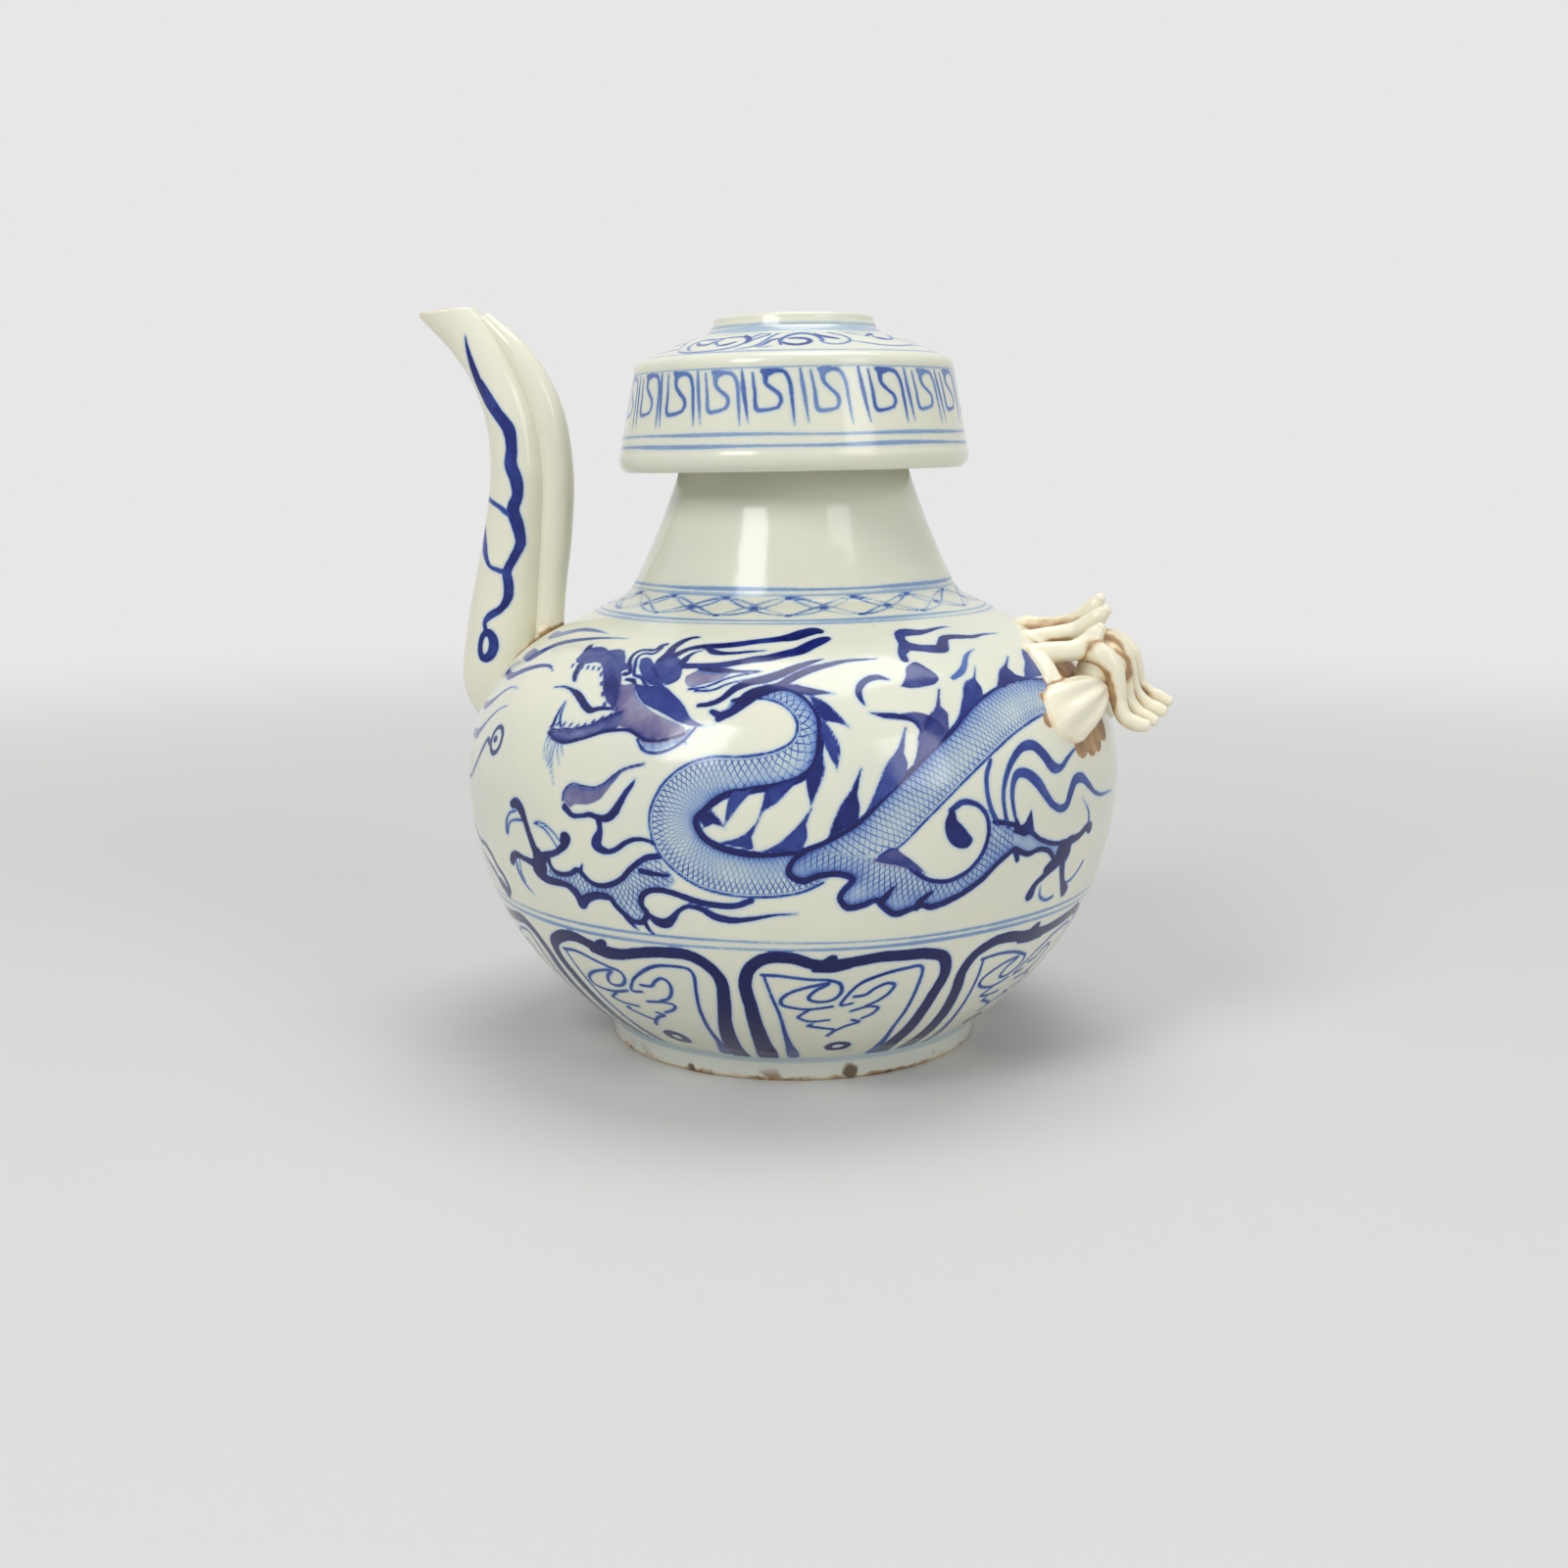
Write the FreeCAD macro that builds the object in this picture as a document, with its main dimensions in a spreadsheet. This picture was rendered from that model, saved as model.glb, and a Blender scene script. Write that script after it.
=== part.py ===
import FreeCAD, Part
import Sketcher
import math
import os

# A wheel-thrown porcelain ewer: a round body on a turned foot ring, a tapering neck, a
# wide hat-shaped mouth that hangs over the neck, a tall curved spout with a rib down its
# back, and a modelled tuft of clay strands on the shoulder across from the spout.
# Millimetres, +Z up. The origin is the centre of the foot's resting plane. The spout
# stands on the -X side and the tuft on the +X side, and -Y is the front.

LENGTHS = {
    "foot_radius": (50.0, "outer radius of the foot ring where it rests"),
    "foot_height": (6.4, "height of the foot ring"),
    "foot_width": (6.5, "width of the foot ring's wall"),
    "foot_bevel": (0.7, "trimmed edge at the foot ring's resting face"),
    "foot_ledge": (0.6, "how far the body stands out over the foot ring"),
    "body_wall": (5.0, "wall of the body"),
    "floor_thickness": (6.0, "floor of the body inside the foot ring"),
    "belly_radius": (88.0, "widest radius of the body"),
    "belly_rise": (67.6, "from the foot ring's top to the widest point"),
    "shoulder_turn": (41.5, "radius of the shoulder's curve in section"),
    "neck_foot_radius": (46.0, "radius where the neck is luted to the shoulder"),
    "neck_seat_width": (10.0, "width of the luted face under the neck"),
    "neck_fillet": (6.0, "radius of the concave turn at the neck's foot"),
    "neck_sweep": (186.0, "radius of the neck's long concave curve"),
    "neck_wall": (4.5, "wall of the neck and the throat"),
    "neck_rise": (34.5, "height of the neck up to the seam inside the hat"),
    "neck_top_radius": (30.1, "outer radius at that seam"),
    "throat_rise": (30.3, "height of the throat inside the hat"),
    "throat_top_radius": (22.9, "outer radius of the throat under the roof"),
    "roof_hub": (4.2, "thickness of the hat's roof at its centre"),
    "roof_fall": (6.8, "drop from the roof's hub to the top of the skirt"),
    "roof_flare_width": (6.0, "width of the concave turn round the mouth ring"),
    "roof_flare_fall": (2.4, "drop of the concave turn round the mouth ring"),
    "roof_flare_turn": (8.0, "radius of that turn"),
    "roof_corner_width": (1.9, "width of the rounded corner over the skirt"),
    "roof_corner_rise": (3.4, "rise of the rounded corner over the skirt"),
    "roof_corner_turn": (3.2, "radius of that corner"),
    "mouth_radius": (22.0, "outer radius of the mouth ring at its base"),
    "mouth_wall": (4.1, "wall of the mouth ring"),
    "mouth_rise": (3.3, "height of the mouth ring"),
    "mouth_taper": (0.9, "how far the mouth ring draws in"),
    "mouth_round": (1.2, "rounded edges of the mouth ring"),
    "skirt_top_radius": (42.3, "outer radius of the skirt under the roof"),
    "skirt_wall": (4.0, "wall of the skirt"),
    "skirt_drop": (25.2, "height of the skirt"),
    "skirt_flare": (3.9, "how far the skirt widens down to its lip"),
    "lip_rise": (4.9, "height of the rolled lip"),
    "lip_turn": (3.6, "radius of the rolled lip outside"),
    "lip_tuck": (1.8, "how far the lip tucks in below its widest point"),
    "lip_rest": (1.2, "narrow flat under the lip"),
    "lip_inner_turn": (1.9, "radius of the lip inside"),
    "lip_inner_rise": (1.6, "height of the inner rounding"),
    "spout_rise": (100.0, "from the spout's root on the shoulder to its mouth"),
    "spout_root_radius": (11.4, "outer radius of the spout's tube at the root"),
    "spout_wall": (2.6, "wall of the spout"),
    "spout_beak_drop": (2.0, "how far the mouth's cut lies under the full rise at the beak"),
    "rib_depth": (6.8, "how far the rib stands out from the tube"),
    "rib_sink": (2.5, "how far the rib's round bar is bedded into the tube"),
    "lump_radius": (2.0, "the pinch of clay at the foot of the rib's groove"),
    "tuft_reach": (22.0, "overall reach of the tuft from its root"),
}

ANGLES = {
    "shoulder_slope": (26.2, "slope of the shoulder's straight part under the neck"),
    "neck_slope": (62.0, "slope of the neck where the fillet ends"),
    "spout_root_turn": (33.0, "place of the spout's root on the shoulder's curve"),
    "spout_bore_tilt": (45.0, "lean of the hole under the spout"),
    "spout_beak_slope": (9.0, "fall of the mouth's cut towards the beak"),
    "lump_turn": (24.0, "how far up the shoulder's curve the pinch of clay lies from the root"),
    "tuft_root_turn": (35.0, "place of the tuft's root on the shoulder's curve"),
    "tuft_turn": (7.0, "how far the tuft stands round from +X to the front"),
}

# Stations of the spout's tube, from its root upward: distance outward and height as
# shares of spout_rise from the root point, the lean in degrees, and the radius as a
# share of spout_root_radius.
SPOUT_SHARES = [
    (-0.023, -0.076, 45.0, 1.01),
    (0.027, -0.001, 14.0, 0.99),
    (0.021, 0.099, -7.0, 0.95),
    (-0.003, 0.259, -9.0, 0.87),
    (-0.028, 0.419, -7.0, 0.78),
    (-0.039, 0.574, 2.0, 0.73),
    (-0.017, 0.719, 15.0, 0.66),
    (0.036, 0.839, 30.0, 0.60),
    (0.102, 0.929, 41.0, 0.58),
    (0.172, 1.004, 45.0, 0.60),
    (0.240, 1.072, 45.0, 0.62),
]

# How far the rib stands out at the spout's third to ninth stations, as shares of
# rib_depth.
RIB_SHARES = [0.91, 0.90, 1.0, 1.0, 1.0, 0.74, 0.30]

# Tuft strands, from root to tip: outward, sideways and upward shares of tuft_reach from
# the tuft's root point, and the strand's radius as a share of tuft_reach.
UPPER_STRAND_SHARES = [
    [
        (-0.90, 0.42, 0.66, 0.075), (-0.66, 0.37, 0.71, 0.095), (-0.43, 0.32, 0.755, 0.105),
        (-0.235, 0.27, 0.815, 0.105), (-0.09, 0.225, 0.92, 0.095), (0.03, 0.185, 1.045, 0.070),
        (0.077, 0.18, 1.09, 0.036),
    ],
    [
        (-0.75, -0.15, 0.57, 0.080), (-0.53, -0.09, 0.67, 0.095), (-0.355, -0.045, 0.70, 0.105),
        (-0.18, 0.0, 0.75, 0.105), (0.0, 0.0, 0.86, 0.095), (0.16, 0.0, 0.955, 0.070),
        (0.215, 0.0, 0.985, 0.036),
    ],
    [
        (-0.62, -0.66, 0.46, 0.085), (-0.41, -0.59, 0.52, 0.100), (-0.25, -0.50, 0.51, 0.105),
        (-0.09, -0.41, 0.53, 0.105), (0.05, -0.32, 0.61, 0.095), (0.15, -0.27, 0.71, 0.070),
        (0.19, -0.255, 0.76, 0.036),
    ],
]
LOWER_STRAND_SHARES = [
    [
        (0.14, 0.10, 0.28, 0.085), (0.30, 0.22, 0.43, 0.100), (0.43, 0.30, 0.385, 0.105),
        (0.51, 0.36, 0.21, 0.095), (0.56, 0.365, 0.04, 0.092), (0.67, 0.365, -0.085, 0.090),
        (0.84, 0.365, -0.155, 0.082), (0.95, 0.365, -0.205, 0.045),
    ],
    [
        (0.14, -0.02, 0.20, 0.080), (0.32, 0.01, 0.37, 0.095), (0.45, 0.07, 0.30, 0.098),
        (0.49, 0.13, 0.135, 0.092), (0.555, 0.135, -0.045, 0.090), (0.695, 0.135, -0.18, 0.088),
        (0.87, 0.135, -0.25, 0.078), (0.945, 0.135, -0.275, 0.045),
    ],
    [
        (0.20, -0.10, 0.18, 0.080), (0.38, -0.12, 0.07, 0.090), (0.48, -0.10, -0.12, 0.090),
        (0.65, -0.075, -0.26, 0.088), (0.85, -0.075, -0.325, 0.075), (0.92, -0.075, -0.345, 0.045),
    ],
    [
        (0.16, -0.16, 0.28, 0.085), (0.385, -0.315, 0.225, 0.100), (0.43, -0.32, 0.03, 0.098),
        (0.445, -0.32, -0.155, 0.095), (0.53, -0.32, -0.305, 0.095), (0.675, -0.32, -0.36, 0.090),
        (0.80, -0.32, -0.37, 0.045),
    ],
]

# The knot that the lower strands spring from, and the two fans beside it: centres and
# half sizes as shares of tuft_reach. A fan's axes are its long axis, towards the knot,
# and its thin axis, out of the shoulder.
KNOT_CENTRE_SHARES = (0.07, -0.045, 0.19)
KNOT_RADIUS_SHARE = 0.39
FAN_CENTRE_SHARES = (0.02, -0.84, -0.125)
FAN_SIZE_SHARES = (0.61, 0.39, 0.22)
FAN_LONG_AXIS = (0.365, 0.858, 0.30)
FAN_THIN_AXIS = (0.84, -0.19, 0.506)

# The beak's place outward from the root, as a share of spout_rise.
BEAK_REACH_SHARE = 0.25

# How far the pinch of clay stands off the shoulder's curve and off the rib's side, as
# shares of its own radius.
LUMP_REST_SHARE = 0.65
LUMP_SIDE_SHARE = 0.25

# The hole under the spout as a share of the tube's bore there.
ROOT_HOLE_SHARE = 0.8


class Size:
    """A size together with the expression that gives it from the sheet."""

    def __init__(self, value, text):
        self.value = value
        self.text = text

    def __add__(self, other):
        return Size(self.value + other.value, f"({self.text} + {other.text})")

    def __sub__(self, other):
        return Size(self.value - other.value, f"({self.text} - {other.text})")

    def __mul__(self, other):
        if isinstance(other, Size):
            return Size(self.value * other.value, f"{self.text} * {other.text}")
        return Size(self.value * other, f"{self.text} * ({other})")

    def over(self, other):
        return Size(self.value / other.value, f"({self.text}) / ({other.text})")

    def negative(self):
        return Size(-self.value, f"(-1 * {self.text})")


def root(size):
    return Size(math.sqrt(size.value), f"sqrt({size.text})")


def cosine(angle):
    return Size(math.cos(math.radians(angle.value)), f"cos({angle.text})")


def sine(angle):
    return Size(math.sin(math.radians(angle.value)), f"sin({angle.text})")


ZERO = Size(0.0, "0")

doc = FreeCAD.newDocument("ewer")


# The sheet of driving dimensions
def fill_sheet():
    sheet = doc.addObject("Spreadsheet::Sheet", "Sizes")
    sizes = {}
    row = 0
    for table in (LENGTHS, ANGLES):
        for name, (value, meaning) in table.items():
            row += 1
            sheet.set(f"A{row}", meaning)
            sheet.set(f"B{row}", str(value))
            sheet.setAlias(f"B{row}", name)
            sizes[name] = Size(value, f"Sizes.{name}")
    doc.recompute()
    return sizes


size = fill_sheet()

# Heights and radii that follow from the sheet
foot_top = size["foot_height"]
floor_top = foot_top + size["floor_thickness"]
seat_radius = size["foot_radius"] + size["foot_ledge"]
belly_height = foot_top + size["belly_rise"]
belly_spread = size["belly_radius"] - seat_radius
lower_turn = (size["belly_rise"] * size["belly_rise"] + belly_spread * belly_spread).over(
    belly_spread * 2)
floor_depth = belly_height - floor_top
inner_lower_turn = lower_turn - size["body_wall"]
floor_radius = size["belly_radius"] - lower_turn + root(
    inner_lower_turn * inner_lower_turn - floor_depth * floor_depth)

shoulder_axis = size["belly_radius"] - size["shoulder_turn"]
slope_sine = sine(size["shoulder_slope"])
slope_cosine = cosine(size["shoulder_slope"])
shoulder_end_radius = shoulder_axis + size["shoulder_turn"] * slope_sine
shoulder_end_height = belly_height + size["shoulder_turn"] * slope_cosine
slope_tangent = slope_sine.over(slope_cosine)
neck_seat_height = shoulder_end_height + (
    shoulder_end_radius - size["neck_foot_radius"]) * slope_tangent
inner_shoulder_turn = size["shoulder_turn"] - size["body_wall"]
inner_end_radius = shoulder_axis + inner_shoulder_turn * slope_sine
inner_end_height = belly_height + inner_shoulder_turn * slope_cosine
neck_opening_radius = size["neck_foot_radius"] - size["neck_seat_width"]
opening_edge_height = inner_end_height + (
    inner_end_radius - neck_opening_radius) * slope_tangent

fillet_end_radius = size["neck_foot_radius"] - size["neck_fillet"] * (
    sine(size["neck_slope"]) - slope_sine)
fillet_end_height = neck_seat_height + size["neck_fillet"] * (
    slope_cosine - cosine(size["neck_slope"]))
neck_top = neck_seat_height + size["neck_rise"]
throat_top = neck_top + size["throat_rise"]
inner_sweep = size["neck_sweep"] + size["neck_wall"]
neck_top_inner = size["neck_top_radius"] - size["neck_wall"]

mouth_bore = size["mouth_radius"] - size["mouth_wall"]
roof_top = throat_top + size["roof_hub"]
mouth_top = roof_top + size["mouth_rise"]
skirt_top = throat_top - size["roof_fall"]
skirt_bottom = skirt_top - size["skirt_drop"]
skirt_inner = size["skirt_top_radius"] - size["skirt_wall"]
lip_radius = size["skirt_top_radius"] + size["skirt_flare"]
lip_under = lip_radius - size["lip_tuck"]
lip_inner = lip_under - size["lip_rest"]

spout_root_out = shoulder_axis + size["shoulder_turn"] * cosine(size["spout_root_turn"])
spout_root_up = belly_height + size["shoulder_turn"] * sine(size["spout_root_turn"])
tuft_root_out = shoulder_axis + size["shoulder_turn"] * cosine(size["tuft_root_turn"])
tuft_root_up = belly_height + size["shoulder_turn"] * sine(size["tuft_root_turn"])


# Turned pieces: a closed outline in the XZ plane, revolved about Z
def origin_plane(body, role):
    for feature in body.Origin.OriginFeatures:
        if feature.Role == role:
            return feature
    raise ValueError(role)


def arc_between(start, end, radius, turn):
    middle = (start + end) * 0.5
    chord = end - start
    reach = math.sqrt(radius * radius - (chord.Length / 2) ** 2)
    left = FreeCAD.Vector(-chord.y, chord.x, 0).normalize()
    centre = middle + left * (reach * turn)
    first, last = (start, end) if turn > 0 else (end, start)
    angle_first = math.atan2(first.y - centre.y, first.x - centre.x)
    angle_last = math.atan2(last.y - centre.y, last.x - centre.x)
    if angle_last < angle_first:
        angle_last += 2 * math.pi
    circle = Part.Circle(centre, FreeCAD.Vector(0, 0, 1), radius)
    return Part.ArcOfCircle(circle, angle_first, angle_last)


def draw_outline(sketch, corners, arcs):
    """Closed outline through corners; arcs maps an edge's number to its radius and turn."""
    count = len(corners)
    points = [FreeCAD.Vector(out.value, up.value, 0) for out, up in corners]
    ends = []
    for number in range(count):
        start = points[number]
        end = points[(number + 1) % count]
        if number in arcs:
            radius, turn = arcs[number]
            sketch.addGeometry(arc_between(start, end, radius.value, turn))
            ends.append((1, 2) if turn > 0 else (2, 1))
            index = sketch.addConstraint(Sketcher.Constraint("Radius", number, radius.value))
            sketch.setExpression(f"Constraints[{index}]", radius.text)
        else:
            sketch.addGeometry(Part.LineSegment(start, end))
            ends.append((1, 2))
    for number in range(count):
        follower = (number + 1) % count
        sketch.addConstraint(Sketcher.Constraint(
            "Coincident", number, ends[number][1], follower, ends[follower][0]))
    for number, (out, up) in enumerate(corners):
        for kind, place, axis in (("DistanceX", out, -2), ("DistanceY", up, -1)):
            if place is ZERO:
                sketch.addConstraint(Sketcher.Constraint(
                    "PointOnObject", number, ends[number][0], axis))
                continue
            index = sketch.addConstraint(Sketcher.Constraint(
                kind, -1, 1, number, ends[number][0], place.value))
            sketch.setExpression(f"Constraints[{index}]", place.text)


def turned(label, corners, arcs):
    body = doc.addObject("PartDesign::Body", label)
    body.Label = label
    sketch = body.newObject("Sketcher::SketchObject", f"{label}_section")
    sketch.AttachmentSupport = (origin_plane(body, "XZ_Plane"), "")
    sketch.MapMode = "FlatFace"
    draw_outline(sketch, corners, arcs)
    revolution = body.newObject("PartDesign::Revolution", f"{label}_turned")
    revolution.Profile = sketch
    revolution.ReferenceAxis = (sketch, ["V_Axis"])
    revolution.Angle = 360
    doc.recompute()
    return body


# Modelled pieces: circles along a path, lofted into one closed solid
def place_circle(name, radius, place, rotation):
    circle = doc.addObject("Part::Circle", name)
    circle.setExpression("Radius", radius.text)
    circle.Placement = FreeCAD.Placement(FreeCAD.Vector(*[p.value for p in place]), rotation)
    for axis, part in zip("xyz", place):
        circle.setExpression(f"Placement.Base.{axis}", part.text)
    return circle


def ball(name, centre, radius):
    sphere = doc.addObject("Part::Sphere", name)
    sphere.setExpression("Radius", radius.text)
    for axis, part in zip("xyz", centre):
        sphere.setExpression(f"Placement.Base.{axis}", part.text)
    doc.recompute()
    return sphere


def lofted(name, circles):
    loft = doc.addObject("Part::Loft", name)
    loft.Sections = circles
    loft.Solid = True
    loft.Ruled = False
    doc.recompute()
    return loft


def cut(label, base, tools):
    """The base less each tool in turn; the last cut carries the piece's label."""
    result = base
    for number, tool in enumerate(tools, 1):
        name = label if number == len(tools) else f"{label}_trim_{number}"
        before = result.Shape.Volume
        step = doc.addObject("Part::Cut", name)
        step.Base = result
        step.Tool = tool
        doc.recompute()
        if not 0 < step.Shape.Volume < before:
            raise ValueError(f"{name} removed nothing, or everything")
        step.Label = name
        result = step
    return result


# Foot and body
def make_foot_ring():
    outer = size["foot_radius"]
    inner = outer - size["foot_width"]
    bevel = size["foot_bevel"]
    corners = [
        (inner, ZERO), (outer - bevel, ZERO), (outer, bevel), (seat_radius, foot_top),
        (inner, foot_top),
    ]
    return turned("foot_ring", corners, {})


def make_lower_body():
    corners = [
        (ZERO, foot_top), (seat_radius, foot_top), (size["belly_radius"], belly_height),
        (size["belly_radius"] - size["body_wall"], belly_height), (floor_radius, floor_top),
        (ZERO, floor_top),
    ]
    return turned("lower_body", corners, {1: (lower_turn, 1), 3: (inner_lower_turn, -1)})


def make_upper_body():
    corners = [
        (size["belly_radius"], belly_height), (shoulder_end_radius, shoulder_end_height),
        (size["neck_foot_radius"], neck_seat_height), (neck_opening_radius, neck_seat_height),
        (neck_opening_radius, opening_edge_height), (inner_end_radius, inner_end_height),
        (size["belly_radius"] - size["body_wall"], belly_height),
    ]
    arcs = {0: (size["shoulder_turn"], 1), 5: (inner_shoulder_turn, -1)}
    body = turned("upper_body", corners, arcs)
    before = body.Shape.Volume
    # The hole into the spout runs through the shoulder along the lean of the spout's root
    hole = body.newObject("Sketcher::SketchObject", "spout_hole_section")
    hole.AttachmentSupport = (origin_plane(body, "XY_Plane"), "")
    hole.MapMode = "FlatFace"
    lean = FreeCAD.Rotation(FreeCAD.Vector(0, -1, 0), size["spout_bore_tilt"].value)
    place = FreeCAD.Vector(-spout_root_out.value, 0, spout_root_up.value)
    hole.AttachmentOffset = FreeCAD.Placement(place, lean)
    hole.setExpression("AttachmentOffset.Base.x", spout_root_out.negative().text)
    hole.setExpression("AttachmentOffset.Base.z", spout_root_up.text)
    radius = (size["spout_root_radius"] - size["spout_wall"]) * ROOT_HOLE_SHARE
    hole.addGeometry(Part.Circle(FreeCAD.Vector(), FreeCAD.Vector(0, 0, 1), radius.value))
    hole.addConstraint(Sketcher.Constraint("Coincident", 0, 3, -1, 1))
    index = hole.addConstraint(Sketcher.Constraint("Radius", 0, radius.value))
    hole.setExpression(f"Constraints[{index}]", radius.text)
    pocket = body.newObject("PartDesign::Pocket", "spout_hole")
    pocket.Profile = hole
    pocket.SideType = "Symmetric"
    pocket.setExpression("Length", (size["body_wall"] * 4).text)
    doc.recompute()
    if not body.Shape.Volume < before:
        raise ValueError("the hole under the spout cut nothing")
    return body


def make_core():
    """The room that the closed body takes, which pieces luted to the shoulder leave free."""
    corners = [
        (ZERO, foot_top), (seat_radius, foot_top), (size["belly_radius"], belly_height),
        (shoulder_end_radius, shoulder_end_height), (size["neck_foot_radius"], neck_seat_height),
        (ZERO, neck_seat_height),
    ]
    return turned("body_core", corners, {1: (lower_turn, 1), 2: (size["shoulder_turn"], 1)})


# Neck, throat and the hat-shaped mouth
def make_neck():
    corners = [
        (size["neck_foot_radius"], neck_seat_height), (fillet_end_radius, fillet_end_height),
        (size["neck_top_radius"], neck_top), (neck_top_inner, neck_top),
        (neck_opening_radius, neck_seat_height),
    ]
    arcs = {0: (size["neck_fillet"], -1), 1: (size["neck_sweep"], -1), 3: (inner_sweep, 1)}
    return turned("neck", corners, arcs)


def make_throat():
    corners = [
        (size["neck_top_radius"], neck_top), (size["throat_top_radius"], throat_top),
        (mouth_bore, throat_top), (neck_top_inner, neck_top),
    ]
    return turned("throat", corners, {0: (size["neck_sweep"], -1), 2: (inner_sweep, 1)})


def make_roof():
    corner_radius = size["skirt_top_radius"] - size["roof_corner_width"]
    flare_radius = size["mouth_radius"] + size["roof_flare_width"]
    corners = [
        (mouth_bore, throat_top), (size["throat_top_radius"], throat_top),
        (skirt_inner, skirt_top), (size["skirt_top_radius"], skirt_top),
        (corner_radius, skirt_top + size["roof_corner_rise"]),
        (flare_radius, roof_top - size["roof_flare_fall"]),
        (size["mouth_radius"], roof_top), (mouth_bore, roof_top),
    ]
    arcs = {3: (size["roof_corner_turn"], 1), 5: (size["roof_flare_turn"], -1)}
    return turned("hat_roof", corners, arcs)


def make_skirt():
    corners = [
        (lip_inner, skirt_bottom), (lip_under, skirt_bottom),
        (lip_radius, skirt_bottom + size["lip_rise"]), (size["skirt_top_radius"], skirt_top),
        (skirt_inner, skirt_top),
        (lip_radius - size["skirt_wall"], skirt_bottom + size["lip_inner_rise"]),
    ]
    arcs = {1: (size["lip_turn"], 1), 5: (size["lip_inner_turn"], 1)}
    return turned("hat_skirt", corners, arcs)


def make_mouth_ring():
    rounding = size["mouth_round"]
    drawn_in = size["mouth_radius"] - size["mouth_taper"]
    corners = [
        (mouth_bore, roof_top), (size["mouth_radius"], roof_top),
        (drawn_in, mouth_top - rounding), (drawn_in - rounding, mouth_top),
        (mouth_bore + rounding, mouth_top), (mouth_bore, mouth_top - rounding),
    ]
    return turned("mouth_ring", corners, {2: (rounding, 1), 4: (rounding, 1)})


# Spout, its rib and the pinch of clay beside them
def spout_circles(name, thinner, first, last):
    circles = []
    for number in range(first, last):
        out_share, up_share, lean, radius_share = SPOUT_SHARES[number]
        out = (spout_root_out + size["spout_rise"] * out_share).negative()
        up = spout_root_up + size["spout_rise"] * up_share
        radius = size["spout_root_radius"] * radius_share - thinner
        turn = FreeCAD.Rotation(FreeCAD.Vector(0, -1, 0), lean)
        circles.append(place_circle(f"{name}_{number}", radius, (out, ZERO, up), turn))
    return circles


def make_beak_cut():
    """A block over the spout's slanting mouth."""
    block = doc.addObject("Part::Box", "beak_cut")
    side = size["spout_rise"]
    for name in ("Length", "Width", "Height"):
        block.setExpression(name, side.text)
    lean = FreeCAD.Rotation(FreeCAD.Vector(0, -1, 0), size["spout_beak_slope"].value)
    back = (spout_root_out + size["spout_rise"]).negative()
    fall = sine(size["spout_beak_slope"]).over(cosine(size["spout_beak_slope"]))
    drop = size["spout_beak_drop"] + size["spout_rise"] * (1 - BEAK_REACH_SHARE) * fall
    up = spout_root_up + size["spout_rise"] - drop
    place = FreeCAD.Vector(back.value, -side.value / 2, up.value)
    block.Placement = FreeCAD.Placement(place, lean)
    block.setExpression("Placement.Base.x", back.text)
    block.setExpression("Placement.Base.y", (side * 0.5).negative().text)
    block.setExpression("Placement.Base.z", up.text)
    return block


def make_spout(core):
    whole = lofted("spout_outside", spout_circles("spout_ring", ZERO, 0, len(SPOUT_SHARES)))
    bore = lofted("spout_bore", spout_circles("bore_ring", size["spout_wall"], 0, len(SPOUT_SHARES)))
    beak = make_beak_cut()
    doc.recompute()
    return whole, cut("spout_tube", whole, [bore, core, beak])


def make_rib(core, whole_spout):
    circles = []
    for step, rib_share in enumerate(RIB_SHARES):
        out_share, up_share, lean, radius_share = SPOUT_SHARES[step + 2]
        depth = size["rib_depth"] * rib_share
        radius = (depth + size["rib_sink"]) * 0.5
        back = size["spout_root_radius"] * radius_share + depth - radius
        out = spout_root_out + size["spout_rise"] * out_share
        out = (out - back * math.cos(math.radians(lean))).negative()
        up = spout_root_up + size["spout_rise"] * up_share
        up = up + back * math.sin(math.radians(lean))
        turn = FreeCAD.Rotation(FreeCAD.Vector(0, -1, 0), lean)
        circles.append(place_circle(f"rib_ring_{step}", radius, (out, ZERO, up), turn))
    bar = lofted("rib_outside", circles)
    return bar, cut("spout_rib", bar, [core, whole_spout])


def make_lump(core, bar):
    turn = size["spout_root_turn"] + size["lump_turn"]
    stand_off = size["shoulder_turn"] + size["lump_radius"] * LUMP_REST_SHARE
    out = (shoulder_axis + stand_off * cosine(turn)).negative()
    up = belly_height + stand_off * sine(turn)
    rib_radius = (size["rib_depth"] * RIB_SHARES[0] + size["rib_sink"]) * 0.5
    side = (rib_radius + size["lump_radius"] * LUMP_SIDE_SHARE).negative()
    lump = ball("lump_ball", (out, side, up), size["lump_radius"])
    # Its seam faces away from the shoulder and the rib, and its poles lie along the two.
    tilt = math.radians(turn.value)
    along = FreeCAD.Vector(math.sin(tilt), 0, math.cos(tilt))
    away = FreeCAD.Vector(-math.cos(tilt), -1, math.sin(tilt))
    lean = FreeCAD.Rotation(away, FreeCAD.Vector(), along, "ZXY")
    lump.Placement = FreeCAD.Placement(FreeCAD.Vector(out.value, side.value, up.value), lean)
    doc.recompute()
    return cut("clay_lump", lump, [core, bar])


# The tuft on the other shoulder
def tuft_place(shares, mirror=1):
    out_share, side_share, up_share = shares
    reach = size["tuft_reach"]
    return (tuft_root_out + reach * out_share, reach * (side_share * mirror),
            tuft_root_up + reach * up_share)


def facing(direction):
    """The turn that lays a circle square to a direction, its start kept on one side."""
    sideways = FreeCAD.Vector(0, 1, 0)
    return FreeCAD.Rotation(sideways.cross(direction), sideways, direction, "ZYX")


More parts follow.
